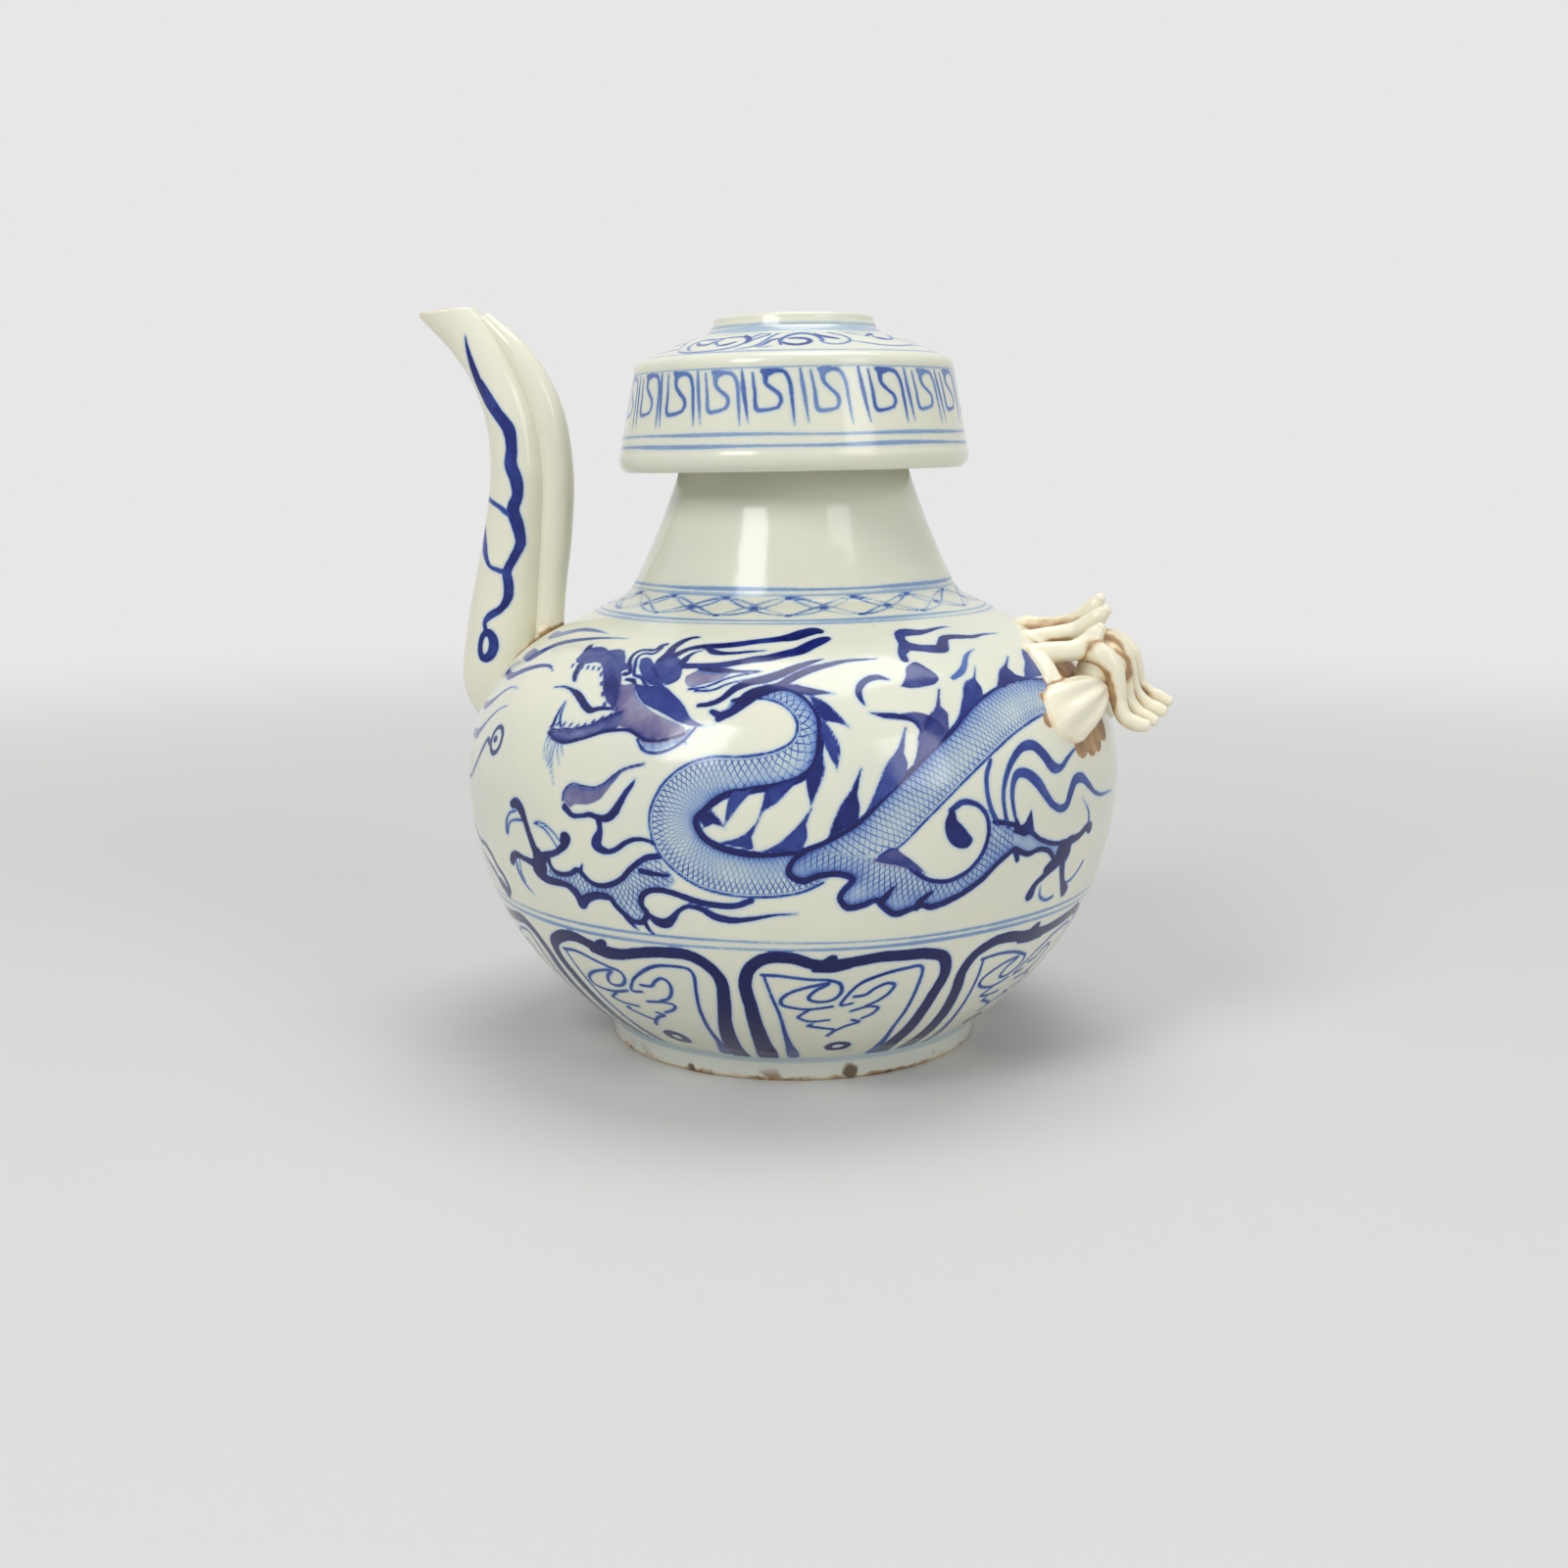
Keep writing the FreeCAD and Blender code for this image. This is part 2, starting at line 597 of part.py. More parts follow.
def strand(name, stations):
    places = [tuft_place(station[:3]) for station in stations]
    points = [FreeCAD.Vector(*[p.value for p in place]) for place in places]
    circles = []
    for number, station in enumerate(stations):
        before = points[max(number - 1, 0)]
        after = points[min(number + 1, len(points) - 1)]
        turn = facing(after - before)
        radius = size["tuft_reach"] * station[3]
        circles.append(place_circle(f"{name}_ring_{number}", radius, places[number], turn))
    return lofted(f"{name}_outside", circles)


def egg(name, centre, halves, rotation):
    shell = doc.addObject("Part::Ellipsoid", name)
    for key, share in zip(("Radius2", "Radius3", "Radius1"), halves):
        shell.setExpression(key, (size["tuft_reach"] * share).text)
    shell.Placement = FreeCAD.Placement(FreeCAD.Vector(*[p.value for p in centre]), rotation)
    for axis, part in zip("xyz", centre):
        shell.setExpression(f"Placement.Base.{axis}", part.text)
    doc.recompute()
    return shell


def fan_rotation(mirror):
    long_axis = FreeCAD.Vector(FAN_LONG_AXIS[0], FAN_LONG_AXIS[1] * mirror, FAN_LONG_AXIS[2])
    thin_axis = FreeCAD.Vector(FAN_THIN_AXIS[0], FAN_THIN_AXIS[1] * mirror, FAN_THIN_AXIS[2])
    wide_axis = thin_axis.cross(long_axis)
    return FreeCAD.Rotation(long_axis, wide_axis, thin_axis, "XZY")


def turn_to_front(piece):
    piece.Placement = FreeCAD.Placement(
        FreeCAD.Vector(), FreeCAD.Rotation(FreeCAD.Vector(0, 0, -1), size["tuft_turn"].value))
    piece.setExpression("Placement.Rotation.Angle", size["tuft_turn"].text)
    return piece


def make_tuft(core):
    pieces = []
    knot_ball = ball("knot_ball", tuft_place(KNOT_CENTRE_SHARES),
                     size["tuft_reach"] * KNOT_RADIUS_SHARE)
    pieces.append(cut("tuft_knot", knot_ball, [core]))
    for label, mirror in (("tuft_fan_front", 1), ("tuft_fan_back", -1)):
        centre = tuft_place(FAN_CENTRE_SHARES, mirror)
        fan = egg(f"{label}_ball", centre, FAN_SIZE_SHARES, fan_rotation(mirror))
        pieces.append(cut(label, fan, [knot_ball, core]))
    for number, stations in enumerate(UPPER_STRAND_SHARES, 1):
        label = f"tuft_upper_strand_{number}"
        pieces.append(cut(label, strand(label, stations), [core]))
    for number, stations in enumerate(LOWER_STRAND_SHARES, 1):
        label = f"tuft_lower_strand_{number}"
        pieces.append(cut(label, strand(label, stations), [knot_ball]))
    return [turn_to_front(piece) for piece in pieces]


# The whole ewer
def build():
    pieces = [
        make_foot_ring(), make_lower_body(), make_upper_body(), make_neck(), make_throat(),
        make_roof(), make_skirt(), make_mouth_ring(),
    ]
    core = make_core()
    whole_spout, spout = make_spout(core)
    bar, rib = make_rib(core, whole_spout)
    pieces += [spout, rib, make_lump(core, bar)]
    pieces += make_tuft(core)
    doc.recompute()
    return pieces


def check(pieces):
    for thing in doc.Objects:
        if "Invalid" in thing.State or "Error" in thing.State:
            raise ValueError(f"{thing.Name} failed: {thing.State}")
    for piece in pieces:
        shape = piece.Shape
        if shape.isNull() or not shape.isValid():
            raise ValueError(f"{piece.Label} has no sound shape")
        if len(shape.Solids) != 1:
            raise ValueError(f"{piece.Label} is {len(shape.Solids)} solids")


def write(pieces):
    os.makedirs("parts", exist_ok=True)
    for piece in pieces:
        piece.Shape.exportStep(f"parts/{piece.Label}.step")
        box = piece.Shape.BoundBox
        print(f"{piece.Label}: {piece.Shape.Volume:.0f} mm3, x {box.XMin:.1f} to {box.XMax:.1f},"
              f" y {box.YMin:.1f} to {box.YMax:.1f}, z {box.ZMin:.1f} to {box.ZMax:.1f}")


ewer = build()
check(ewer)
write(ewer)
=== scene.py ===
import math

import bpy
import numpy as np
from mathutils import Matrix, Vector
from mathutils.kdtree import KDTree


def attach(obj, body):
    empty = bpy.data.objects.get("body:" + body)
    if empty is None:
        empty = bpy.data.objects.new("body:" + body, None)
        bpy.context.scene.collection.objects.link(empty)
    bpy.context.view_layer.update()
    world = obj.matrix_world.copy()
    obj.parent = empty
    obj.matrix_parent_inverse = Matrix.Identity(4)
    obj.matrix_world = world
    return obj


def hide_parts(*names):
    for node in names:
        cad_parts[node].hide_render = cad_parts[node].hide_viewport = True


# The looks of a porcelain ewer: the shells are made again with fine, slightly uneven
# surfaces, and the blue painting is laid on them stroke by stroke. Lengths are in
# millimetres until a mesh is made, and the frame is the model's own.
MM = 0.001
VIEW_TURN = math.radians(13.0)

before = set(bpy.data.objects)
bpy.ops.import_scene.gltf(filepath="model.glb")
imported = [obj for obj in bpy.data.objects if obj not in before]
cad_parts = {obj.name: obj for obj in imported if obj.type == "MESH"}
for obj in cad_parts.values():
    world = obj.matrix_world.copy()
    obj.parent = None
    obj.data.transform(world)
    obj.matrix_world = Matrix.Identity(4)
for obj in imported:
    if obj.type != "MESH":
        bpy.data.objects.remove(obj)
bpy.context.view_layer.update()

# Sizes of the turned pieces: radii, heights, and the turns of the curves between them
FOOT_RADIUS, FOOT_INSIDE, FOOT_BEVEL, FOOT_TOP, SEAT = 50.0, 43.5, 0.7, 6.4, 50.6
BELLY, BELLY_HEIGHT, BODY_WALL, FLOOR_TOP, FLOOR_HOLE = 88.0, 74.0, 5.0, 12.4, 2.0
SHOULDER_AXIS, SHOULDER_TURN, SLOPE = 46.5, 41.5, math.radians(26.2)
NECK_FOOT, NECK_OPENING, NECK_FILLET, NECK_SLOPE = 46.0, 36.0, 6.0, math.radians(62)
NECK_SWEEP, INNER_SWEEP, NECK_TOP_INSIDE = 186.0, 190.5, 25.6
MOUTH_RADIUS, MOUTH_BORE, MOUTH_ROUND = 22.0, 17.9, 1.2
SKIRT_RADIUS, SKIRT_INSIDE = 42.3, 38.3
LOWER_RISE = BELLY_HEIGHT - FOOT_TOP
LOWER_TURN = (LOWER_RISE ** 2 + (BELLY - SEAT) ** 2) / (2 * (BELLY - SEAT))


def on_shoulder(bend, turn=SHOULDER_TURN):
    """Radius and height on the shoulder's curve, at an angle up from its axis."""
    return SHOULDER_AXIS + turn * math.cos(bend), BELLY_HEIGHT + turn * math.sin(bend)


def up_slope(start, radius):
    """Where the shoulder's straight slope through a start reaches a radius."""
    return radius, start[1] + (start[0] - radius) * math.tan(SLOPE)


SHOULDER_END = on_shoulder(math.pi / 2 - SLOPE)
NECK_SEAT = up_slope(SHOULDER_END, NECK_FOOT)
FILLET_END = (NECK_FOOT - NECK_FILLET * (math.sin(NECK_SLOPE) - math.sin(SLOPE)),
              NECK_SEAT[1] + NECK_FILLET * (math.cos(SLOPE) - math.cos(NECK_SLOPE)))
NECK_TOP = (30.1, NECK_SEAT[1] + 34.5)
THROAT_TOP = (22.9, NECK_TOP[1] + 30.3)
ROOF_TOP = THROAT_TOP[1] + 4.2
SKIRT_TOP = THROAT_TOP[1] - 6.8
SKIRT_BOTTOM = SKIRT_TOP - 25.2

# Paint is kept as the distance to the nearest stroke's edge. FAR is no stroke at all.
FAR = 4.0
UNPAINTED = -9999.0
LEAN = 0.0105


# Curves and outlines
def smooth(points, step):
    """Points along a centripetal curve through the given ones, about a step apart."""
    given = np.array(points, float)
    if len(given) < 3:
        return line(given[0], given[-1], step)
    ends = np.vstack([2 * given[0] - given[1], given, 2 * given[-1] - given[-2]])
    out = []
    for a, b, c, d in zip(ends, ends[1:], ends[2:], ends[3:]):
        before, here, after = [max(math.hypot(*(q - p)[:2]), 1e-4) ** 0.5
                               for p, q in ((a, b), (b, c), (c, d))]
        leaving = ((b - a) / before - (c - a) / (before + here) + (c - b) / here) * here
        arriving = ((c - b) / here - (d - b) / (here + after) + (d - c) / after) * here
        count = max(1, int(np.ceil(math.hypot(*(c - b)[:2]) / step)))
        out.append(cubic((np.arange(count) / count)[:, None], b, leaving, c, arriving))
    return np.vstack(out + [given[-1:]])


def cubic(t, start, leaving, end, arriving):
    return (start * (2 * t ** 3 - 3 * t ** 2 + 1) + leaving * (t ** 3 - 2 * t ** 2 + t)
            + end * (3 * t ** 2 - 2 * t ** 3) + arriving * (t ** 3 - t ** 2))


def arc(start, end, radius, turn, step):
    """An arc between two places; turn is 1 with its centre on the left and -1 on the right."""
    start, end = np.array(start, float), np.array(end, float)
    chord = end - start
    length = np.hypot(*chord)
    reach = math.sqrt(max(radius ** 2 - (length / 2) ** 2, 0))
    left = np.array([-chord[1], chord[0]]) / length
    centre = (start + end) / 2 + left * reach * turn
    first = math.atan2(*(start - centre)[::-1])
    last = math.atan2(*(end - centre)[::-1])
    if (last - first) * turn < 0:
        last += 2 * math.pi * turn
    angles = np.linspace(first, last, max(2, int(abs(last - first) * radius / step)) + 1)
    return centre + radius * np.stack([np.cos(angles), np.sin(angles)], 1)


def line(start, end, step):
    start, end = np.array(start, float), np.array(end, float)
    count = max(1, int(np.ceil(math.hypot(*(end - start)[:2]) / step)))
    t = np.linspace(0, 1, count + 1)[:, None]
    return start * (1 - t) + end * t


def outline_of(*parts):
    """One outline from parts that each start where the last ended."""
    return np.vstack([parts[0]] + [part[1:] for part in parts[1:]])


def body_outside(step):
    return (arc((SEAT, FOOT_TOP), (BELLY, BELLY_HEIGHT), LOWER_TURN, 1, step),
            outline_of(arc((BELLY, BELLY_HEIGHT), SHOULDER_END, SHOULDER_TURN, 1, step),
                       line(SHOULDER_END, NECK_SEAT, step)),
            outline_of(arc(NECK_SEAT, FILLET_END, NECK_FILLET, -1, step),
                       arc(FILLET_END, NECK_TOP, NECK_SWEEP, -1, step)))


# The body's outer profile, with the length along it counted from the belly upward
fine_outside = body_outside(0.2)
PROFILE = outline_of(*fine_outside)
ALONG = np.concatenate([[0], np.cumsum(np.hypot(*np.diff(PROFILE, axis=0).T))])
ALONG = ALONG - ALONG[len(fine_outside[0]) - 1]


def along_body(points):
    """The length along the outer profile at each point of an outline that lies on it."""
    return np.interp(points[:, 1], PROFILE[:, 1], ALONG)


def along_roof(points):
    """On the roof and the mouth ring, along runs inward."""
    return -points[:, 0]


def along_height(points):
    return points[:, 1]


def round_axis(r, turn, z):
    """Places round the axis; turn is counted from the middle of the photographed side."""
    side, front = r * np.sin(turn), r * np.cos(turn)
    return np.stack([side * math.cos(VIEW_TURN) + front * math.sin(VIEW_TURN),
                     side * math.sin(VIEW_TURN) - front * math.cos(VIEW_TURN), z + 0 * side], -1)


# Everything leans a little, as the hand-thrown piece does, and is not quite round
def towards_side(points):
    return points[..., 0] * math.cos(VIEW_TURN) + points[..., 1] * math.sin(VIEW_TURN)


def settle(points):
    x, y, z = np.moveaxis(points, -1, 0)
    lean = LEAN * np.clip(z / BELLY_HEIGHT, 0, 1) + 0.0085 * np.clip((z - 120) / 35, 0, 1)
    turn = np.arctan2(y, x)
    shy = 0.0016 * (1 + np.sin(2 * turn + z * 0.021 + 0.6)) + 0.0006 * (
        1 + np.sin(5 * turn - z * 0.06)) * np.clip(z / 20, 0, 1)
    keep = 1 - shy * np.clip((z - 1.0) / 8, 0, 1)
    return np.stack([x * keep, y * keep, z + lean * towards_side(points)], -1)


def lean_only(points, fade_from=1000.0, fade_to=1001.0):
    """Modelled pieces follow the body's lean, less and less above a height."""
    z = points[..., 2]
    lean = LEAN * towards_side(points) * np.clip((fade_to - z) / (fade_to - fade_from), 0, 1)
    return points + np.stack([0 * z, 0 * z, lean], -1)


# Painting
def to_segment(places, a, b):
    """How far along a segment, as a share, and how far from it each place lies."""
    ab = b - a
    ap = places - a
    t = np.clip((ap @ ab) / max(ab @ ab, 1e-9), 0, 1)
    return t, np.linalg.norm(ap - t[..., None] * ab, axis=-1)


class Sheet:
    """A surface in rows and columns, and what is painted on it."""

    def __init__(self, places, along=None, across=None, wrap=None):
        self.places, self.along, self.across, self.wrap = places, along, across, wrap
        self.paint = {name: np.full(places.shape[:2], FAR) for name in ("ink", "wash", "scale")}
        for name in ("ink_tone", "wash_tone", "scale_along", "scale_out", "warm"):
            self.paint[name] = np.zeros(places.shape[:2])

    def window(self, low, high):
        """The cells between two corners given across and along, and their rows and columns."""
        rows = np.nonzero((self.along >= low[1]) & (self.along <= high[1]))[0]
        count = len(self.across)
        pitch = self.wrap / count
        first = int(np.floor((low[0] - self.across[0]) / pitch))
        last = int(np.ceil((high[0] - self.across[0]) / pitch))
        if last - first >= count:
            first, last = 0, count - 1
        columns = np.arange(first, last + 1) % count
        return np.ix_(rows, columns), rows, columns

    def put(self, name, cells, where, value):
        self.paint[name][cells] = np.where(where, value, self.paint[name][cells])

    def lay(self, cells, a, b, widths, tone, warm=0.0):
        """One straight piece of a stroke, where it comes nearer than what is there."""
        t, gap = to_segment(self.places[cells], a, b)
        edge = gap - (widths[0] * (1 - t) + widths[1] * t) / 2
        nearer = edge < self.paint["ink"][cells]
        self.put("ink", cells, nearer, edge)
        self.put("ink_tone", cells, nearer, tone)
        if warm:
            self.put("warm", cells, nearer & (edge < WARM_REACH), warm)


STROKE_STEP, STROKE_ROOM, WARM_REACH = 0.55, 1.3, 0.6
AREA_STEP, AREA_ROOM, EDGE_REACH, SCALE_REACH = 0.6, 1.5, 2.6, 1.2


class Chart:
    """Ties flat places, across and along in millimetres, to one or more sheets."""

    def __init__(self, sheets, rows, radius):
        """rows are (along, r, z) up the surface, and across is measured at the radius."""
        self.sheets, self.radius = sheets, radius
        self.rows = np.array(sorted(rows), float)

    def place(self, across, along):
        steps, r, z = self.rows.T
        return round_axis(np.interp(along, steps, r), across / self.radius,
                          np.interp(along, steps, z))

    def windows(self, track, room):
        """Each sheet with its cells near a track, where it has any."""
        far = room * self.radius / float(np.interp(track[:, 1].mean(), self.rows[:, 0],
                                                   self.rows[:, 1]))
        low = (track[:, 0].min() - far, track[:, 1].min() - room)
        high = (track[:, 0].max() + far, track[:, 1].max() + room)
        for sheet in self.sheets:
            cells, rows, columns = sheet.window(low, high)
            if len(rows) and len(columns):
                yield sheet, cells, rows, columns, (low[0] + high[0]) / 2

    def stroke(self, points, tone=0.8, warm=0.0):
        """A brush stroke through points given as (across, along, width)."""
        track = smooth(points, STROKE_STEP)
        width = np.maximum(track[:, 2], 0.05)
        spots = self.place(track[:, 0], track[:, 1])
        for k in range(len(track) - 1):
            room = max(width[k], width[k + 1]) / 2 + STROKE_ROOM
            for sheet, cells, *_ in self.windows(track[k:k + 2], room):
                sheet.lay(cells, spots[k], spots[k + 1], width[k:k + 2], tone, warm)

    def area(self, points, tone=0.3, kind="wash", warm=0.0, fade=None, spine=None, flow=None,
             round_corners=True):
        """A filled shape. fade is (tone far away, reach) from the spine; flow is the line
        that scales follow."""
        closed = list(points) + [points[0]]
        edge = (smooth(closed, AREA_STEP) if round_corners else np.array(closed, float))[:, :2]
        spots = self.place(edge[:, 0], edge[:, 1])
        for sheet, cells, rows, columns, middle in self.windows(edge, AREA_ROOM):
            v, u = np.meshgrid(sheet.along[rows], sheet.across[columns], indexing="ij")
            u = (u - middle + sheet.wrap / 2) % sheet.wrap + middle - sheet.wrap / 2
            inside = np.zeros(u.shape, bool)
            for (u0, v0), (u1, v1) in zip(edge, edge[1:]):
                if v0 != v1:
                    crosses = (v0 > v) != (v1 > v)
                    inside ^= crosses & (u < (u1 - u0) * (v - v0) / (v1 - v0) + u0)
            here = sheet.places[cells]
            gap = np.full(u.shape, 9.0)
            for a, b in zip(spots, spots[1:]):
                near = np.abs(here - (a + b) / 2).max(-1) < EDGE_REACH
                if near.any():
                    gap[near] = np.minimum(gap[near], to_segment(here[near], a, b)[1])
            signed = np.where(inside, -gap, gap)
            nearer = inside | (signed < sheet.paint[kind][cells])
            sheet.paint[kind][cells] = np.minimum(signed, sheet.paint[kind][cells])
            if flow is not None:
                along, out = self.follow(here, flow)
                close = nearer & (signed < SCALE_REACH)
                sheet.put("scale_along", cells, close, along)
                sheet.put("scale_out", cells, close, out)
                continue
            if spine is not None:
                track = smooth(spine, 2 * AREA_STEP)
                off = np.full(u.shape, 99.0)
                for mark in self.place(track[:, 0], track[:, 1]):
                    off = np.minimum(off, np.linalg.norm(here - mark, axis=-1))
                tone_here = fade[0] + (tone - fade[0]) * np.exp(-off / fade[1])
            else:
                tone_here = tone
            sheet.put(f"{kind}_tone", cells, nearer, tone_here)
            if warm:
                sheet.put("warm", cells, nearer & (signed < WARM_REACH), warm)

    def follow(self, here, flow):
        """How far along and out from a line each place lies."""
        track = smooth(flow, 1.0)
        spots = self.place(track[:, 0], track[:, 1])
        steps = np.diff(spots, axis=0)
        run = np.concatenate([[0], np.cumsum(np.linalg.norm(steps, axis=1))])
        best = np.full(here.shape[:2], 1e9)
        along, out = np.zeros(best.shape), np.zeros(best.shape)
        for k, ab in enumerate(steps):
            t, gap = to_segment(here, spots[k], spots[k + 1])
            nearer = gap < best
            outward = np.cross([spots[k][0], spots[k][1], 0.0], ab)
            best = np.where(nearer, gap, best)
            along = np.where(nearer, run[k] + t * np.linalg.norm(ab), along)
            out = np.where(nearer, gap * np.sign((here - spots[k]) @ outward), out)
        return along, out


# Meshes
def grid_faces(rows, columns, closed):
    """The cells of a grid whose columns meet, and their corners."""
    rr, cc = np.meshgrid(np.arange(rows if closed else rows - 1), np.arange(columns), indexing="ij")
    r2, c2 = (rr + 1) % rows, (cc + 1) % columns
    corners = [rr * columns + cc, rr * columns + c2, r2 * columns + c2, r2 * columns + cc]
    return rr, cc, np.stack(corners, -1).reshape(-1, 4)


def new_piece(name, points, *faces):
    """A piece from points in millimetres and arrays of faces, all of it smooth."""
    sizes = np.concatenate([np.full(len(part), part.shape[1]) for part in faces])
    loops = np.concatenate([part.ravel() for part in faces])
    mesh = bpy.data.meshes.new(name)
    mesh.vertices.add(len(points))
    mesh.vertices.foreach_set("co", (points * MM).ravel())
    mesh.loops.add(len(loops))
    mesh.loops.foreach_set("vertex_index", loops)
    mesh.polygons.add(len(sizes))
    mesh.polygons.foreach_set("loop_start", np.cumsum(sizes) - sizes)
    mesh.polygons.foreach_set("use_smooth", np.ones(len(sizes), bool))
    mesh.update(calc_edges=True)
    if mesh.validate():
        raise ValueError(f"{name} has a bad face")
    piece = bpy.data.objects.new(name, mesh)
    bpy.context.collection.objects.link(piece)
    return piece


def attribute(piece, name, values):
    store = piece.data.attributes.new(name, "FLOAT", "POINT")
    store.data.foreach_set("value", np.asarray(values, np.float32).ravel())


def plain_paint(piece):
    """No strokes, where none were laid."""
    for key in ("ink", "wash", "scale"):
        if key not in piece.data.attributes:
            attribute(piece, key, np.full(len(piece.data.vertices), FAR))


def mark_edges(mesh, columns, sharp_rows):
    ends = np.zeros(len(mesh.edges) * 2, int)
    mesh.edges.foreach_get("vertices", ends)
    ends = ends.reshape(-1, 2) // columns
    sharp = (ends[:, 0] == ends[:, 1]) & np.isin(ends[:, 0], sharp_rows)
    mesh.attributes.new("sharp_edge", "BOOLEAN", "EDGE").data.foreach_set("value", sharp)


UV_EDGE, UV_GAP = 0.004, 0.01


def unfold(mesh, places, rr, cc, strips):
    """A flat place for each face's corners: the surface in strips, one above the other."""
    run = np.linalg.norm(np.diff(places[:, 0], axis=0, append=places[:1, 0]), axis=1)
    share = np.concatenate([[0], np.cumsum(run)])
    share = share / share[-1]
    wide = places.shape[1] / strips
    strip = np.minimum((cc // wide).astype(int), strips - 1)
    local = (cc - strip * wide) / wide
    left = UV_EDGE + local * (1 - 2 * UV_EDGE)
    right = UV_EDGE + (local + 1 / wide) * (1 - 2 * UV_EDGE)
    low = (strip + UV_GAP + share[rr] * (1 - 2 * UV_GAP)) / strips
    high = (strip + UV_GAP + share[rr + 1] * (1 - 2 * UV_GAP)) / strips
    flat = np.stack([left, low, right, low, right, high, left, high], -1).reshape(-1)
    mesh.uv_layers.new(name="OFBake").data.foreach_set("uv", flat)


# Turned shells
class Shell:
    """A turned piece: a closed outline, part of it painted, and the rows that are edges."""

    def __init__(self, name, node, stretches, count, radius, paint_along, strips=1):
        """stretches is a list of (points, painted); each starts where the last ended."""
        outline, along, sharp = [], [], []
        after_paint = False
        for points, painted in stretches:
            sharp.append(sum(len(p) for p in outline))
            keep = points[:-1]
            marks = paint_along(keep) if painted else np.full(len(keep), UNPAINTED)
            if after_paint and not painted:
                marks[0] = paint_along(keep[:1])[0]
            after_paint = painted
            outline.append(keep)
            along.append(marks)
        self.name, self.node, self.radius, self.strips = name, node, radius, strips
        self.outline, self.sharp = np.vstack(outline), sharp
        across = (np.arange(count) / count - 0.5) * 2 * math.pi * radius
        places = round_axis(self.outline[:, :1], across / radius, self.outline[:, 1:])
        self.sheet = Sheet(places, np.concatenate(along), across, 2 * math.pi * radius)

    def piece(self, painted):
        places = self.sheet.places
        rr, cc, faces = grid_faces(*places.shape[:2], True)
        piece = new_piece(self.name, settle(places).reshape(-1, 3), faces)
        mark_edges(piece.data, places.shape[1], self.sharp)
        unfold(piece.data, places, rr, cc, self.strips)
        if painted:
            for key, values in self.sheet.paint.items():
                attribute(piece, key, values)
        plain_paint(piece)
        return piece


FINE = 0.5
lower_out, upper_out, neck_out = body_outside(FINE)
inner_turn = LOWER_TURN - BODY_WALL
floor_edge = (BELLY - LOWER_TURN + math.sqrt(inner_turn ** 2 - (BELLY_HEIGHT - FLOOR_TOP) ** 2),
              FLOOR_TOP)
inner_belly = (BELLY - BODY_WALL, BELLY_HEIGHT)
lower_shell = Shell("painted_lower_body", "lower_body", [
    (line((FLOOR_HOLE, FOOT_TOP), (SEAT, FOOT_TOP), 8.0), False),
    (lower_out, True),
    (line((BELLY, BELLY_HEIGHT), inner_belly, 5.0), False),
    (arc(inner_belly, floor_edge, inner_turn, -1, 5.0), False),
    (line(floor_edge, (FLOOR_HOLE, FLOOR_TOP), 10.0), False),
    (line((FLOOR_HOLE, FLOOR_TOP), (FLOOR_HOLE, FOOT_TOP), 8.0), False),
], 1100, BELLY, along_body, strips=2)

inner_shoulder = SHOULDER_TURN - BODY_WALL
inner_end = on_shoulder(math.pi / 2 - SLOPE, inner_shoulder)
opening = up_slope(inner_end, NECK_OPENING)
upper_shell = Shell("painted_upper_body", "upper_body", [
    (upper_out, True),
    (line(NECK_SEAT, (NECK_OPENING, NECK_SEAT[1]), 5.0), False),
    (line((NECK_OPENING, NECK_SEAT[1]), opening, 4.0), False),
    (line(opening, inner_end, 6.0), False),
    (arc(inner_end, inner_belly, inner_shoulder, -1, 5.0), False),
    (line(inner_belly, (BELLY, BELLY_HEIGHT), 5.0), False),
], 1100, BELLY, along_body, strips=2)

neck_shell = Shell("glazed_neck", "neck", [
    (neck_out, True),
    (line(NECK_TOP, (NECK_TOP_INSIDE, NECK_TOP[1]), 4.5), False),
    (arc((NECK_TOP_INSIDE, NECK_TOP[1]), (NECK_OPENING, NECK_SEAT[1]), INNER_SWEEP, 1, 4.0), False),
    (line((NECK_OPENING, NECK_SEAT[1]), NECK_SEAT, 5.0), False),
], 720, BELLY, along_body)

throat_shell = Shell("glazed_throat", "throat", [
    (arc(NECK_TOP, THROAT_TOP, NECK_SWEEP, -1, 3.0), False),
    (line(THROAT_TOP, (MOUTH_BORE, THROAT_TOP[1]), 5.0), False),
    (arc((MOUTH_BORE, THROAT_TOP[1]), (NECK_TOP_INSIDE, NECK_TOP[1]), INNER_SWEEP, 1, 3.0), False),
    (line((NECK_TOP_INSIDE, NECK_TOP[1]), NECK_TOP, 4.5), False),
], 240, 25.0, along_body)

corner = (40.4, SKIRT_TOP + 3.4)
flare = (28.0, ROOF_TOP - 2.4)
roof_shell = Shell("painted_hat_roof", "hat_roof", [
    (outline_of(arc((SKIRT_RADIUS, SKIRT_TOP), corner, 3.2, 1, 0.4), line(corner, flare, 0.35),
                arc(flare, (MOUTH_RADIUS, ROOF_TOP), 8.0, -1, 0.35)), True),
    (line((MOUTH_RADIUS, ROOF_TOP), (MOUTH_BORE, ROOF_TOP), 4.0), False),
    (line((MOUTH_BORE, ROOF_TOP), (MOUTH_BORE, THROAT_TOP[1]), 4.0), False),
    (line((MOUTH_BORE, THROAT_TOP[1]), THROAT_TOP, 5.0), False),
    (line(THROAT_TOP, (SKIRT_INSIDE, SKIRT_TOP), 5.0), False),
    (line((SKIRT_INSIDE, SKIRT_TOP), (SKIRT_RADIUS, SKIRT_TOP), 4.0), False),
], 720, 32.0, along_roof)

